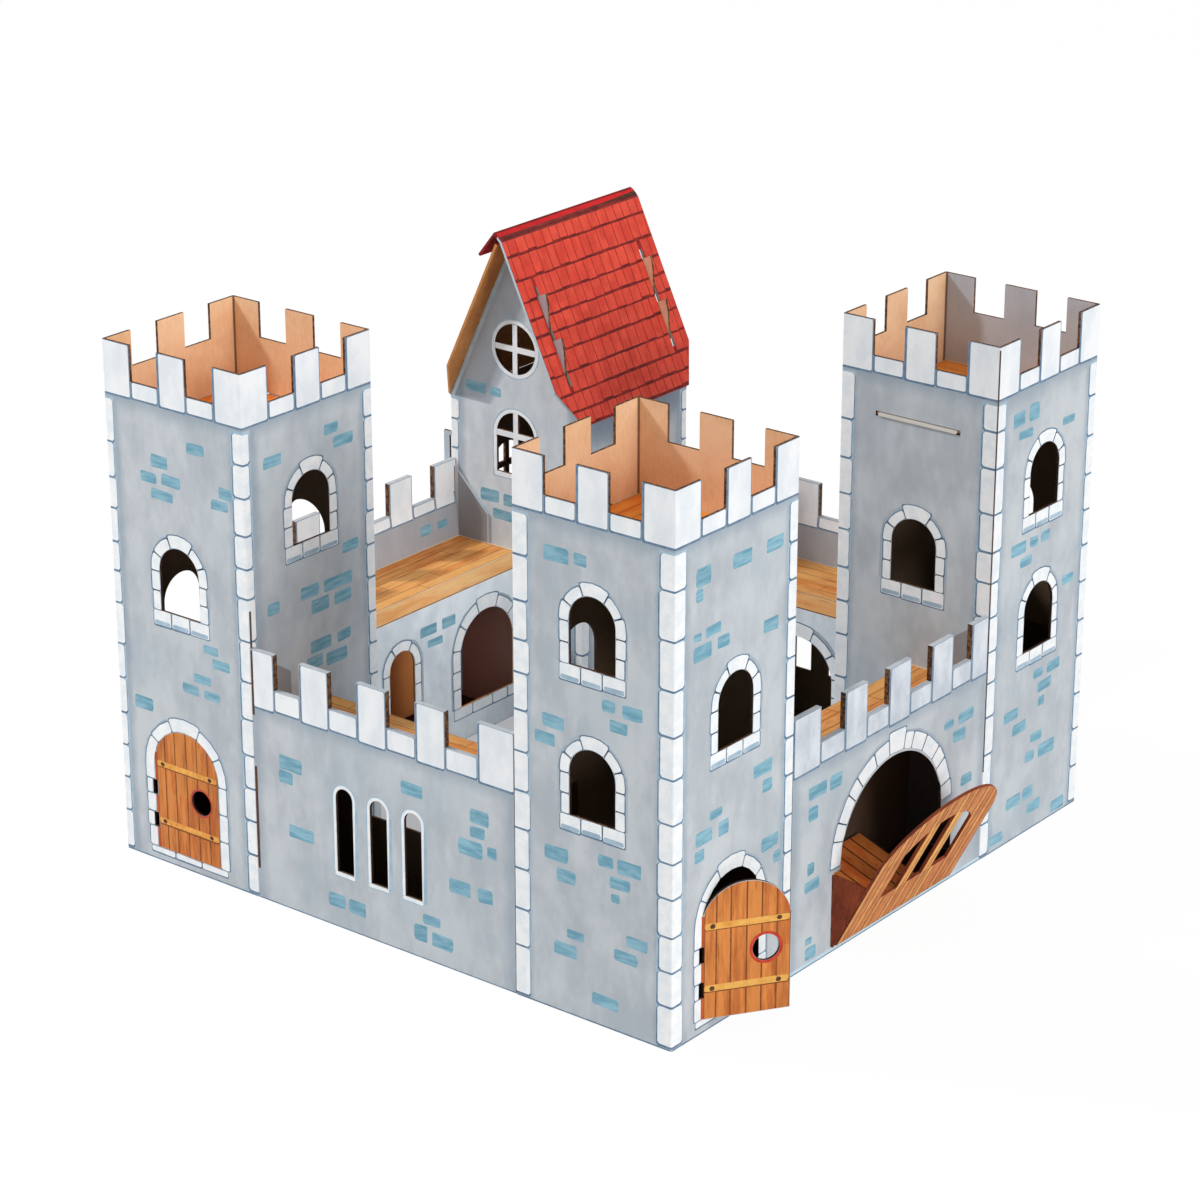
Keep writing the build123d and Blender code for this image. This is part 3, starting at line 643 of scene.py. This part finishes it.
def dress_door_leaf(ink, leaf, rim):
    """Upright planks, two pale cross bars with nails, and a red rim round the hole."""
    edges = [2.6, 10.5, 20.0, 30.5, 40.5, 50.5, DOOR_W - 0.4]

    def hole(u):
        return math.sqrt(max((HOLE_R + 0.2) ** 2 - (u - HOLE_X) ** 2, 0))

    for low, high in ((level(DOOR_FOOT + 0.3), lambda u: HOLE_Z - hole(u)),
                      (lambda u: HOLE_Z + hole(u), lambda u: door_arch(u) - 0.4)):
        ink.planks(leaf, [edges[0], edges[-1]], low, high, "plank_line", 0.03, 0, 40)
        ink.planks(leaf, edges, low, high, "wood_door", 0.06, 1.0, 10)
    for low, high in zip((DOOR_FOOT + 0.3, *HINGES[1::2]), (*HINGES[::2], door_arch(1.6) - 0.4)):
        ink.block(leaf, 0.4, edges[0] + 0.1, low, high, "wood_warm", 0.05, 0.05, 0.2)
    ring = [(2 * math.pi * k / 24 * HOLE_R, 0.15, rim) for k in range(25)]
    ink.strip(ring_of(leaf, HOLE_X, HOLE_Z, HOLE_R), ring, "rim_red", 0.09)
    for v in (31.0, 74.0):
        ink.outlined(leaf, 2.8, DOOR_W - 1.0, v - 2.9, v + 2.3, (0.1, 0.2, 0.9, 0), "wood_bar",
                     lifts=(0.08, 0.10), line="plank_line")
        for u in (8, 52):
            ink.block(leaf, u - 1.7, u + 1.7, v - 1.5, v + 1.5, "nails_and_gap_shade", 0.13, 0.2, 0.9)


def dress_door(ink, face, swung):
    middle = DOOR_LEFT + DOOR_W / 2
    arch = Arch(face, middle, DOOR_FOOT, DOOR_W, DOOR_TOP - DOOR_FOOT)
    slots = [z - DOOR_FOOT for z in HINGES]
    cuts = [0, *slots, 80, 98, 121, 140, 158, 178, 198, arch.length]
    dress_opening(ink, arch, 7.5, [c / arch.length for c in cuts], 6, 1.25, recess={1: 2.8, 3: 2.8})
    for a, b in ((24, 47), (47, 72), (72, 97)):
        ink.outlined(face, a, b, 4.6, 9.8, (0.5, 0.5, 1.0, 0.2))
    turn = math.radians(OPEN_DEG) if swung else 0
    right = face.right * math.cos(turn) + face.out * math.sin(turn)
    crease = face.origin + face.right * DOOR_LEFT - face.out * CARD
    dress_door_leaf(ink, Panel(crease + right.cross(UP) * CARD, right), 2.2 if swung else 1.4)


def tower_print(key, seed):
    ink = Print("tower_" + key, seed)
    faces = square_panels(*TOWERS[key])
    for k, face in enumerate(faces):
        dress_corner(ink, Fold(faces, k), JOINTS[key][k], *REACHES[key][k])
        for brick in BRICKS.get((key, k), ()):
            ink.brick(face, *brick)
    dress_battlements(ink, faces)
    for face in faces:
        # Painted contact shadow: a thin slate line along each face's foot.
        ink.block(face, 1.5, SIDE - 1.5, 0.1, 1.0, "slate_line", 0.10, 0.05, 0.1)
    if key == "right":
        # Painted shade in the open glue seam at this corner.
        ink.block(Fold(faces, 3), -0.5, 0.8, 66, 368, "seam_and_slot_shade", 0.12, 0.1, 0.4)
    for k, sill in ((0, 139.0), (0, 240.0), (1, 188.0), (2, 240.0), (3, 188.0)):
        dress_window(ink, faces[k], sill)
    dress_door(ink, faces[1], key == "near")
    if key == "left":
        # Painted shade in the slot at this corner.
        ink.block(Fold(faces, 1), 0.4, 2.4, 134, 207, "seam_and_slot_shade", 0.12, 0.1, 0.4)
    ink.hang()


for seed, key in enumerate(TOWERS, 11):
    tower_print(key, seed)

# Walls

FRONT_TOP, BACK_TOP = 181.0, 191.0
BLOCK = 15.5          # height of the pale blocks under the walls' gaps
GATE_MIDDLE, GATE_R, GATE_HEAD = 115.0, 59.0, 117.5
LANCET_W, LANCET_FOOT, LANCET_HEAD, LANCET_PITCH = 14.5, 41.0, 102.0, 29.7
ARCH_W, ARCH_HEAD = 60.0, 96.0
FRONT_TEETH = ((0, 20), (43, 68), (93, 118), (143, 168), (195, 225))
GATE_TEETH = [(WALL - b, WALL - a) for a, b in reversed(FRONT_TEETH)]
BACK_TEETH = ((0, 25), (50, 75), (100, 125), (150, 175), (200, 225))
WALL_BRICKS = {
    "gate": [
        (18, 119, 38, 128), (42, 118, 55, 128), (18, 104, 29, 114), (175, 114, 186, 120), (192, 113, 210, 121),
        (186, 101, 201, 110), (198, 65, 211, 73), (18, 66, 26, 74), (16, 54, 32, 62), (18, 16, 25, 21),
        (18, 5, 30, 14)],
    "front_left": [
        (23, 102, 43, 112), (22, 92, 35, 101), (30, 54, 52, 63), (130, 114, 148, 123), (188, 110, 204, 120),
        (188, 100, 200, 108), (178, 86, 198, 97), (202, 89, 210, 97), (170, 56, 188, 66), (194, 56, 206, 66),
        (64, 14, 79, 24), (82, 14, 97, 24), (147, 26, 162, 33), (139, 12, 150, 24), (154, 12, 172, 22)],
}


class Wall:
    """A wall's own x, y and z turned into the castle's, with its faces as panels."""

    def __init__(self, origin, along, inward, teeth, top, arch):
        self.origin = Vector(origin)
        self.along = Vector(along)
        self.inward = Vector(inward)
        self.axis = "x" if self.along.x else "y"
        self.teeth = teeth
        self.top = top
        self.notch = top - TOOTH
        self.arch = arch

    def measure(self, f, way):
        """How far a point lies from the wall's origin along or inward, and its normal's share of that way."""
        if way.x:
            return (f.x - self.origin.x) * way.x, f.nx * way.x
        return (f.y - self.origin.y) * way.y, f.ny * way.y

    def facing_yard(self, y, z=0.0, lean=0.0):
        """Panel seen from the yard, its u from the wall's far end; lean is how far it falls back over its height."""
        start = self.origin + self.inward * y + self.along * WALL + UP * z
        return Panel(start, -self.along, UP - self.inward * lean)

    def leaning(self):
        """Inner face of the parapet, which leans outward over its height."""
        return self.facing_yard(8.2, WALK, 3.9 / (self.notch - WALK))


# The last two numbers are the middle, from the wall's far end, and the foot of its arch to the yard.
WALLS = {
    "gate": Wall((HALF, -HALF, 0), (1, 0, 0), (0, 1, 0), GATE_TEETH, FRONT_TOP, (150.0, 26.0)),
    "front_left": Wall((-HALF, SPAN - HALF, 0), (0, -1, 0), (1, 0, 0), FRONT_TEETH, FRONT_TOP, (150.0, 52.0)),
    "back_left": Wall((SPAN - HALF, SPAN + HALF, 0), (-1, 0, 0), (0, -1, 0), BACK_TEETH, BACK_TOP, (189.5, 26.0)),
    "back_right": Wall((SPAN + HALF, HALF, 0), (0, 1, 0), (-1, 0, 0), BACK_TEETH, BACK_TOP, (150.0, 26.0)),
}


def dress_wall_top(ink, wall, panel, paint):
    """Pale blocks up the teeth and under the gaps."""
    foot = wall.notch - BLOCK
    for a, b in wall.teeth:
        ink.outlined(panel, a + 0.35, b - 0.35, foot - 1.2, wall.top - 0.2, (1.45, 0.45, 1.5, 0.2), paint, 0.15)
    for (_, a), (b, _) in zip(wall.teeth, wall.teeth[1:]):
        ink.outlined(panel, a + 0.2, b - 0.2, foot + 0.2, wall.notch - 0.2, (1.0, 0.6, 1.3, 0.1), paint, 0.15,
                     lifts=(0.03, 0.07))


def dress_parapet(ink, wall):
    """Yard side of the battlements: teeth, the low blocks under the gaps and the leaning sheet's top band."""
    teeth = [(WALL - b, WALL - a) for a, b in reversed(wall.teeth)]
    upright = wall.facing_yard(4.3)
    tall = wall.notch - WALK
    leaning = wall.leaning()
    for a, b in teeth:
        ink.outlined(upright, a + 0.35, b - 0.35, wall.notch, wall.top - 0.3, (0.85, 0.45, -0.4, 0.2), "tooth_white",
                     0, 0.1)
        low, high = max(a, 2.6), min(b, WALL - 2.6)
        ink.outlined(leaning, low + 0.35, high - 0.35, tall - 9.5, tall + 0.1, (0.85, 0.45, 1.1, -0.2), "tooth_white",
                     0, 0.1, (0.04, 0.08))
    for (_, a), (b, _) in zip(teeth, teeth[1:]):
        ink.outlined(leaning, a + 0.3, b - 0.3, tall - 9.2, tall - 0.3, (0.9, 0.5, 1.2, 0.2), "tooth_white")


def dress_deck(ink, wall):
    """Walkway planks, and the walkway's orange edge down the yard side."""
    deck = Panel(wall.origin + wall.inward * HALF + wall.along * WALL + UP * WALK, -wall.along, -wall.inward)
    deep = HALF - 8.2
    ink.block(deck, 2.6, WALL - 2.6, 0.2, deep - 0.3, "plank_line", 0.03, 0.0, 0.2)
    rows = [0.3, 10.5, 21.0, 32.0, 43.0, deep - 0.4]
    for a, b in zip(rows, rows[1:]):
        spot, last = 2.8, WALL - 2.8
        while spot < last:
            end = spot + ink.chance.uniform(60, 120)
            if last - end < 15:
                end = last
            ink.block(deck, spot, end - 0.5, a + 0.25, b - 0.25, "wood_along_" + wall.axis, 0.06, 0.1, 0.3)
            spot = end
    lip = wall.facing_yard(HALF)
    # Painted light: the lip's wood is lighter than the walkway's.
    ink.outlined(lip, 0.5, WALL - 0.5, WALK - 13, WALK - 0.2, (0.1, 0.1, 0.8, 0.1), "lip_painted_light_" + wall.axis, 0.1, 0.3,
                 (0.03, 0.06), "plank_line")


def dress_lancets(ink, panel, centre):
    """White rims, thinner at the right, and soft blue round three narrow windows."""
    foot = LANCET_FOOT
    for middle in (centre - LANCET_PITCH, centre, centre + LANCET_PITCH):
        arch = Arch(panel, middle, foot, LANCET_W, LANCET_HEAD - foot)
        ink.strip(arch.at, [(s, 0.2, 3.3) for s in arch.spots], "slate_soft", 0.03)
        ink.strip(arch.at, [(s, 0.2, 2.4 if s < arch.length * 0.62 else 0.9) for s in arch.spots], "stone_white", 0.06)
        right = middle + LANCET_W / 2
        ink.outlined(panel, middle - LANCET_W / 2 - 2.4, right + 1.6, foot - 3.6, foot - 0.1, (0.2, 0.8, 0.8, 0.1),
                     lifts=(0.03, 0.06), line="slate_soft")
        ink.block(panel, right + 0.9, right + 4.2, foot - 1, LANCET_HEAD - 9, "slate_soft", 0.04, 0.4, 1.2)


def dress_yard_arch(ink, panel, middle, foot):
    """Stones round a wall's arch to the yard, and its sill of four."""
    ring = 8.5
    dress_opening(ink, Arch(panel, middle, foot, ARCH_W, ARCH_HEAD - foot), ring,
                  (0, 0.09, 0.17, 0.26, 0.35, 0.45, 0.56, 0.66, 0.75, 0.83, 0.91, 1.0), 5, 1.25)
    wide = ARCH_W / 2 + ring
    cuts = [middle + wide * share for share in (-1, -0.45, 0.15, 0.6, 1)]
    for a, b in zip(cuts, cuts[1:]):
        ink.outlined(panel, a, b + 0.4, foot - 9, foot - 0.2, (0.6, 0.8, 1, 0.1))


def wall_print(key, seed):
    ink = Print("wall_" + key, seed)
    wall = WALLS[key]
    outer = Panel(wall.origin + wall.inward * 0.3, wall.along)
    yard = wall.facing_yard(HALF)
    dress_wall_top(ink, wall, outer, "tooth_grey" if key == "gate" else "tooth_white")
    dress_parapet(ink, wall)
    dress_deck(ink, wall)
    for brick in WALL_BRICKS.get(key, WALL_BRICKS["front_left"]):
        ink.brick(outer, *brick)
    # Painted contact shadow: a thin slate line along the wall's foot.
    ink.block(outer, 0.4, WALL - 0.4, 0.1, 0.9, "slate_line", 0.05, 0.05, 0.1)
    if key == "gate":
        arch = Arch(outer, GATE_MIDDLE, 60.0, 2 * GATE_R, GATE_HEAD - 60.0)
        arch.side = 0.1
        dress_opening(ink, arch, 11.5,
                      (0, 0.09, 0.15, 0.24, 0.3, 0.4, 0.48, 0.57, 0.62, 0.7, 0.79, 0.85, 0.94, 1), 6)
    elif key == "front_left":
        # Painted shadow of the slot beside the tower: a dark strip up the wall's end.
        ink.block(outer, 0.2, 2.4, 22, 97, "nails_and_gap_shade", 0.04, 0.1, 0.4)
        dress_lancets(ink, outer, WALL / 2 - 2.8)
    else:
        dress_lancets(ink, outer, WALL / 2)
    dress_yard_arch(ink, yard, *wall.arch)
    if key == "gate":
        ink.block(outer, 0.4, WALL - 0.4, 0.1, 3.2, "edge_pale", 0.03, 0.2)
        dress_bridge(ink)
    elif key == "front_left":
        # Painted shadow of the slot beside the tower, higher up.
        ink.block(outer, 0.2, 2.0, 134, 180, "nails_and_gap_shade", 0.09, 0.1, 0.4)
    elif key == "back_left":
        dress_opening(ink, Arch(yard, WALL / 2 - 17.5, 0.0, 27.5, 92.0), 6.5, [k / 13 for k in range(14)], 6, 1.2)
        leaning = wall.leaning()
        for panel, brick in ((yard, (115, 95, 133, 103)), (yard, (139, 95, 154, 103)), (yard, (123, 85, 140, 91)),
                             (leaning, (181, 10, 193, 18)), (leaning, (200, 11, 211, 17))):
            ink.brick(panel, *brick)
    ink.hang()


def dress_bridge(ink):
    """Planks of the drawbridge's leaf and of the passage floor."""
    lean = math.radians(27.0)
    leaf = Panel((HALF + 119.0, -HALF + 0.9, 4.4), (1, 0, 0), (0, -math.sin(lean), math.cos(lean)))
    leaf.origin += leaf.out * CARD

    def arc(spring, across, rise):
        return lambda u: spring + rise * math.sqrt(max(1 - (u / across) ** 2, 0))

    crown = arc(67.6, 67.5, 40.5)
    slit_head = arc(55.3, 45.3, 34.0)
    foot = level(0.6)
    slit_foot = level(31.8)
    middle = [-39.1, -20.25, -8.75, 8.75, 20.25, 39.1]
    for low, high, edges in ((foot, slit_foot, middle), (slit_head, crown, middle),
                             (foot, crown, [-67.2, -53, -39.3]), (foot, crown, [39.3, 53, 67.2]),
                             (slit_foot, slit_head, [-20.1, -8.9]), (slit_foot, slit_head, [8.9, 20.1])):
        ink.planks(leaf, [edges[0], edges[-1]], low, high, "plank_line", 0.03, 0.0, 16)
        ink.planks(leaf, edges, low, high, "wood_slat" if low is slit_foot else "wood_leaf", 0.06, 1.5, 8)
        for edge in edges[:-1]:
            ink.planks(leaf, [edge + 0.6, edge + 3.0], low, high, "wood_slat", 0.09, 0.2, 3)
            ink.planks(leaf, [edge + 6.2, edge + 7.4], low, high, "plank_line", 0.09, 0.3, 3)
    run = 57.7
    tilt = math.atan2(21.0, run)
    ramp = Panel((HALF + 110.5, -HALF + 1.3, 4.0), (1, 0, 0), (0, math.cos(tilt), math.sin(tilt)))
    ramp.origin += ramp.out * CARD
    edges = [-52.8 + 105.6 * k / 9 for k in range(10)]
    # Painted light: the ramp's planks are as light as the paint goes.
    for some, paint, lift, gap in (([edges[0], edges[-1]], "plank_line", 0.05, 0.0), (edges, "wood_ramp_painted_light", 0.08, 1.6)):
        ink.planks(ramp, some, level(0.4), level(run / math.cos(tilt) - 0.3), paint, lift, gap, 2)


for seed, key in enumerate(WALLS, 21):
    wall_print(key, seed)

# Keep and roof

EAVE = 240.0
APEX = 372.0
SLOPE = math.atan2(APEX - EAVE, HALF)     # of the gables, in radians
OVERHANG = 17.0       # how far the roof reaches past the gables
CUT_OFF = 31.0        # height along the slope of the roof's cut-off corners, and foot of its slots
SLOTS_HEAD = 107.0
RIDGE_FOOT = 144.5    # where the tiles of the front slope end


def dress_cross(ink, face, half, foot, head, bar):
    """White bars of a window in the middle of a panel, the cross bar's lower edge at bar."""
    ink.block(face, HALF - 2.1, HALF + 2.1, foot, head, "stone_white", 0.09, 0.1, 0.1)
    ink.block(face, HALF - half, HALF + half, bar, bar + 4.2, "stone_white", 0.11, 0.1, 0.1)


def dress_gable(ink, face):
    """Round window with its white cross, window with panes below, bricks and a blue edge along both slopes."""
    radius = 19.0
    for far, colour, lift in ((3.9, "slate_soft", 0.03), (2.9, "stone_white", 0.07)):
        turn = [(2 * math.pi * k / 32 * radius, 0.15, far + ink.jog(0.15)) for k in range(32)]
        ink.strip(ring_of(face, HALF, 287.0, radius), [*turn, (2 * math.pi * radius, *turn[0][1:])], colour, lift)
    dress_cross(ink, face, 18.6, 268.4, 305.6, 284.9)
    dress_panes(ink, face, 190.0)
    for brick in ((15, 247, 34, 255), (39, 247, 49, 254), (28, 164, 46, 174), (50, 164, 60, 173), (40, 152, 58, 160)):
        ink.brick(face, *brick)
    for start, away in ((0.0, face.right), (SIDE, -face.right)):
        side = Panel(face.at(start, EAVE) / MM, away * math.cos(SLOPE) + UP * math.sin(SLOPE),
                     UP * math.cos(SLOPE) - away * math.sin(SLOPE))
        side.out = face.out
        ink.block(side, 1, 142, -3.4, -0.3, "edge_pale", 0.03, 0.2, 1.0)


def dress_panes(ink, face, foot):
    """White frame, drawn thin, with the white cross of bars."""
    arch = Arch(face, HALF, foot, WINDOW_W, WINDOW_H)
    for far, colour, lift in ((3.8, "slate_soft", 0.03), (2.8, "stone_white", 0.07)):
        ink.strip(arch.at, [(s, 0.15, far + ink.jog(0.2)) for s in arch.spots], colour, lift)
        ink.block(face, HALF - 18 - far, HALF + 18 + far, foot - far - 0.6, foot - 0.2, colour, lift)
    dress_cross(ink, face, 17.8, foot + 0.2, foot + 47.8, foot + 28.4)


def keep_print():
    ink = Print("keep", 31)
    faces = square_panels(SPAN, SPAN, 0)
    for k in range(4):
        dress_corner(ink, Fold(faces, k), (238, 222, 199, 171, 144, 118, 90, 62, 36, 2), 7, 7)
    dress_gable(ink, faces[0])
    dress_gable(ink, faces[2])
    for face in (faces[1], faces[3]):
        dress_panes(ink, face, 139.0)
        for brick in ((20, 208, 37, 216), (42, 208, 55, 216), (30, 197, 48, 205), (88, 182, 104, 190),
                      (78, 94, 96, 102), (100, 94, 110, 102), (86, 83, 104, 91)):
            ink.brick(face, *brick)
    ink.hang()


def roof_print(key, side, seed):
    """Rows of tiles, each a plate, on the slope that looks along side: u along the ridge, v up the slope."""
    ink = Print(key, seed)
    lift = 0.2 + CARD
    foot = Vector((SPAN, SPAN + side * (HALF + lift * math.sin(SLOPE)), EAVE + lift * math.cos(SLOPE)))
    right = Vector((-side, 0, 0))
    face = Panel(foot - right * (HALF + OVERHANG), right, (0, -side * math.cos(SLOPE), math.sin(SLOPE)))
    full = SIDE + 2 * OVERHANG
    slots = [(middle - 1.7, middle + 1.7) for middle in (OVERHANG + 1, OVERHANG + SIDE - 1)]

    def lowest(u):
        """The sheet's lower edge over u, with its corners cut off."""
        return CUT_OFF * (1 - (min(u, full - u) - 0.4) / OVERHANG)

    def cover(u0, u1, v0, v1, colour, lift):
        """Rectangle cut back at the sheet's lower corners and at the hook slots."""
        start = max(0.4, OVERHANG + 0.4 - v1 * OVERHANG / CUT_OFF)
        spans = [(max(u0, start), min(u1, full - start))]
        if v1 > CUT_OFF and v0 < SLOTS_HEAD:
            for s0, s1 in slots:
                spans = [piece for a, b in spans for piece in
                         ([(a, b)] if b < s0 or a > s1 else [(a, s0), (s1, b)])]
        bend = OVERHANG + 0.4 - v0 * OVERHANG / CUT_OFF
        for a, b in spans:
            if b - a > 0.8:
                us = [a, *(u for u in (bend, full - bend) if a < u < b), b]
                ink.strip(face.at, [(u, min(max(v0, lowest(u)), v1 - 0.05), v1 + ink.jog(0.1)) for u in us],
                          colour, lift)

    rows = [0.5, 11.6, 25, 40.4, 56.6, 71, 84, 98, 114, 132]
    if side < 0:
        rows.append(RIDGE_FOOT)
    for v0, v1 in zip(rows, rows[1:]):
        half = (v0 + v1) / 2
        for low, high in ((v0 + 0.2, half), (half, v1 + 0.2)):
            cover(0, full, low, high, "tile_joint", 0.03)
        spot = -ink.chance.uniform(2, 6)
        while spot < full:
            wide = ink.chance.uniform(8.5, 11)
            for low, high in ((v0 + 0.2, half), (half, v1)):
                cover(spot + 0.45, spot + wide - 0.45, low, high, "tile_red", 0.06)
            foot = v0 + ink.jog(0.3)
            cover(spot, spot + wide, foot - 0.1, foot + ink.chance.uniform(1.3, 2.4), "tile_line", 0.09)
            spot += wide
    if side < 0:
        # Painted shade under the ridge strip: a dark line where the front slope's tiles end, and along the strip's
        # foot.
        cover(0.4, full - 0.4, RIDGE_FOOT + 0.4, RIDGE_FOOT + 1.5, "ridge_crease_shade", 0.05)
        strip_up = SLOPE - math.radians(24)
        strip = Panel(face.at(0, RIDGE_FOOT + 1.6) / MM, face.right, (0, math.cos(strip_up), math.sin(strip_up)))
        ink.block(strip, 0.3, full - 0.3, 0.6, 3.0, "ridge_crease_shade", 0.12, 0.2, 0.2)
        ink.block(strip, 0.3, full - 0.3, 2.8, 6.3, "ridge_red", 0.14, 0.1, 0.2)
        # Painted shade in the gap under the ridge strip, widening to black towards the far end.
        ink.strip(strip.at, [(full - 42, 1.6, 2.6), (full - 6, 0.4, 3.6), (full - 0.5, 0.2, 4.2)], "nails_and_gap_shade", 0.16)
    ink.hang()


keep_print()
roof_print("roof_front", -1, 41)
roof_print("roof_back", 1, 42)


def floor_print(key, seed):
    """Boards of a tower's floor, which run the other way in the right tower."""
    cx, cy, _ = TOWERS[key]
    ink = Print("floor_" + key, seed)
    wood, top = "floor_x", Panel((cx - 60.0, cy - 60.0, 306.0), (1, 0, 0), (0, 1, 0))
    if key == "right":
        wood, top = "floor_y", Panel((cx + 60.0, cy - 60.0, 306.0), (0, 1, 0), (-1, 0, 0))
    ink.block(top, 0.4, 119.6, 0.4, 119.6, "plank_line", 0.03, 0, 0.2)
    rows = [0.6 + 118.8 * k / 10 for k in range(11)]
    for a, b in zip(rows, rows[1:]):
        cut = ink.chance.uniform(30, 90)
        ink.block(top, 0.6, cut - 0.3, a + 0.3, b - 0.3, wood, 0.06, 0.1, 0.3)
        ink.block(top, cut + 0.3, 119.4, a + 0.3, b - 0.3, wood, 0.06, 0.1, 0.3)
    ink.hang()


for seed, key in enumerate(TOWERS, 51):
    floor_print(key, seed)

# The card's own finishes

def finish_node(name, finish, *details):
    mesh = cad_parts[name].data
    mesh.materials.clear()
    mesh.materials.append(finish(Finish(name + "_card"), *details))


for key, (cx, cy, _) in TOWERS.items():
    finish_node("tower_" + key, tube_finish, cx, cy, BAND, key == "right")
    finish_node("floor_" + key, floor_finish, cx, cy)
finish_node("keep", tube_finish, SPAN, SPAN, EAVE, False, True)
for key, wall in WALLS.items():
    finish_node("wall_" + key, wall_finish, wall, key == "gate", 60 if key == "back_left" else None)
finish_node("roof_front", roof_finish, True)
finish_node("roof_back", roof_finish, False)

# Camera, light, ground

scene = bpy.context.scene
scene.view_settings.view_transform = "Standard"

def aimed(data, place, toward):
    """Puts the camera or a lamp in the scene."""
    thing = bpy.data.objects.new(data.name, data)
    thing.location = place
    thing.rotation_mode = "QUATERNION"
    thing.rotation_quaternion = Vector(toward).to_track_quat("-Z", "Y")
    scene.collection.objects.link(thing)
    return thing


lens = bpy.data.cameras.new("camera")
lens.lens = 109.806
lens.sensor_width = 36.0
lens.clip_start = 0.05
lens.clip_end = 50.0
heading, dip = 0.6700, 0.37737
scene.camera = aimed(lens, (-1.66286, -1.27398, 1.09712),
                     (math.cos(dip) * math.cos(heading), math.cos(dip) * math.sin(heading), -math.sin(dip)))


def stage_finish():
    """White ground: plain paint for the light, nearly full white to the camera, so that the shadow stays faint."""
    f = Finish("ground_white")
    path = f.node("ShaderNodeLightPath")
    seen = path["Is Camera Ray"].most(path["Is Glossy Ray"]).most(path["Is Transmission Ray"])
    x = abs(f.x + ground_at - SPAN / 2)
    y = abs(f.y + ground_at - SPAN / 2)
    off = x.most(y)
    under = off < SPAN / 2 + HALF - 1
    yard = (off < SPAN / 2) * (x.least(y) < SPAN / 2 - HALF)
    glowing = 0.94 - 0.94 * under + 0.25 * yard
    # Painted shade: the ground under the walls and towers is dark brown, and the yard's ground is grey and glows
    # little.
    shade = f.blend(under, tint(246, 246, 246), f.blend(yard, tint(70, 52, 42), tint(205, 208, 212)))
    paint = f.node("ShaderNodeBsdfDiffuse", None, {"Color": shade})["BSDF"]
    glow = f.node("ShaderNodeEmission", None, {"Color": (1, 1, 1, 1), "Strength": 1.02})["Emission"]
    mixed = f.node("ShaderNodeMixShader", None, {0: seen * glowing, 1: paint, 2: glow})["Shader"]
    f.tree.nodes.remove(f.shader)
    f.tree.links.new(mixed.socket, f.tree.nodes["Material Output"].inputs["Surface"])
    return f.material


ground_at = 150.0
ground_mesh = bpy.data.meshes.new("ground")
ground_shape = bmesh.new()
bmesh.ops.create_grid(ground_shape, x_segments=1, y_segments=1, size=12.0)
ground_shape.to_mesh(ground_mesh)
ground_shape.free()
ground_mesh.materials.append(stage_finish())
ground = bpy.data.objects.new("ground", ground_mesh)
ground.location = (ground_at * MM, ground_at * MM, -0.0003)
scene.collection.objects.link(ground)

scene.world = bpy.data.worlds.new("studio")
sky = Nodes(scene.world)
background = sky.tree.nodes["Background"]
background.inputs["Color"].default_value = (1, 1, 1, 1)
strength = 0.48 + 0.52 * sky.node("ShaderNodeLightPath")["Is Camera Ray"]
sky.tree.links.new(strength.socket, background.inputs["Strength"])

sun = bpy.data.lights.new("front_light", "SUN")
sun.energy = 1.42
sun.angle = math.radians(28)
aimed(sun, (0, 0, 0), (0.04, 0.96, -0.27))
window = bpy.data.lights.new("window_light", "AREA")
window.energy = 32.0
window.size = 0.22
aimed(window, (-0.85, 1.75, 1.95), (0.68, -1.0, -1.02))
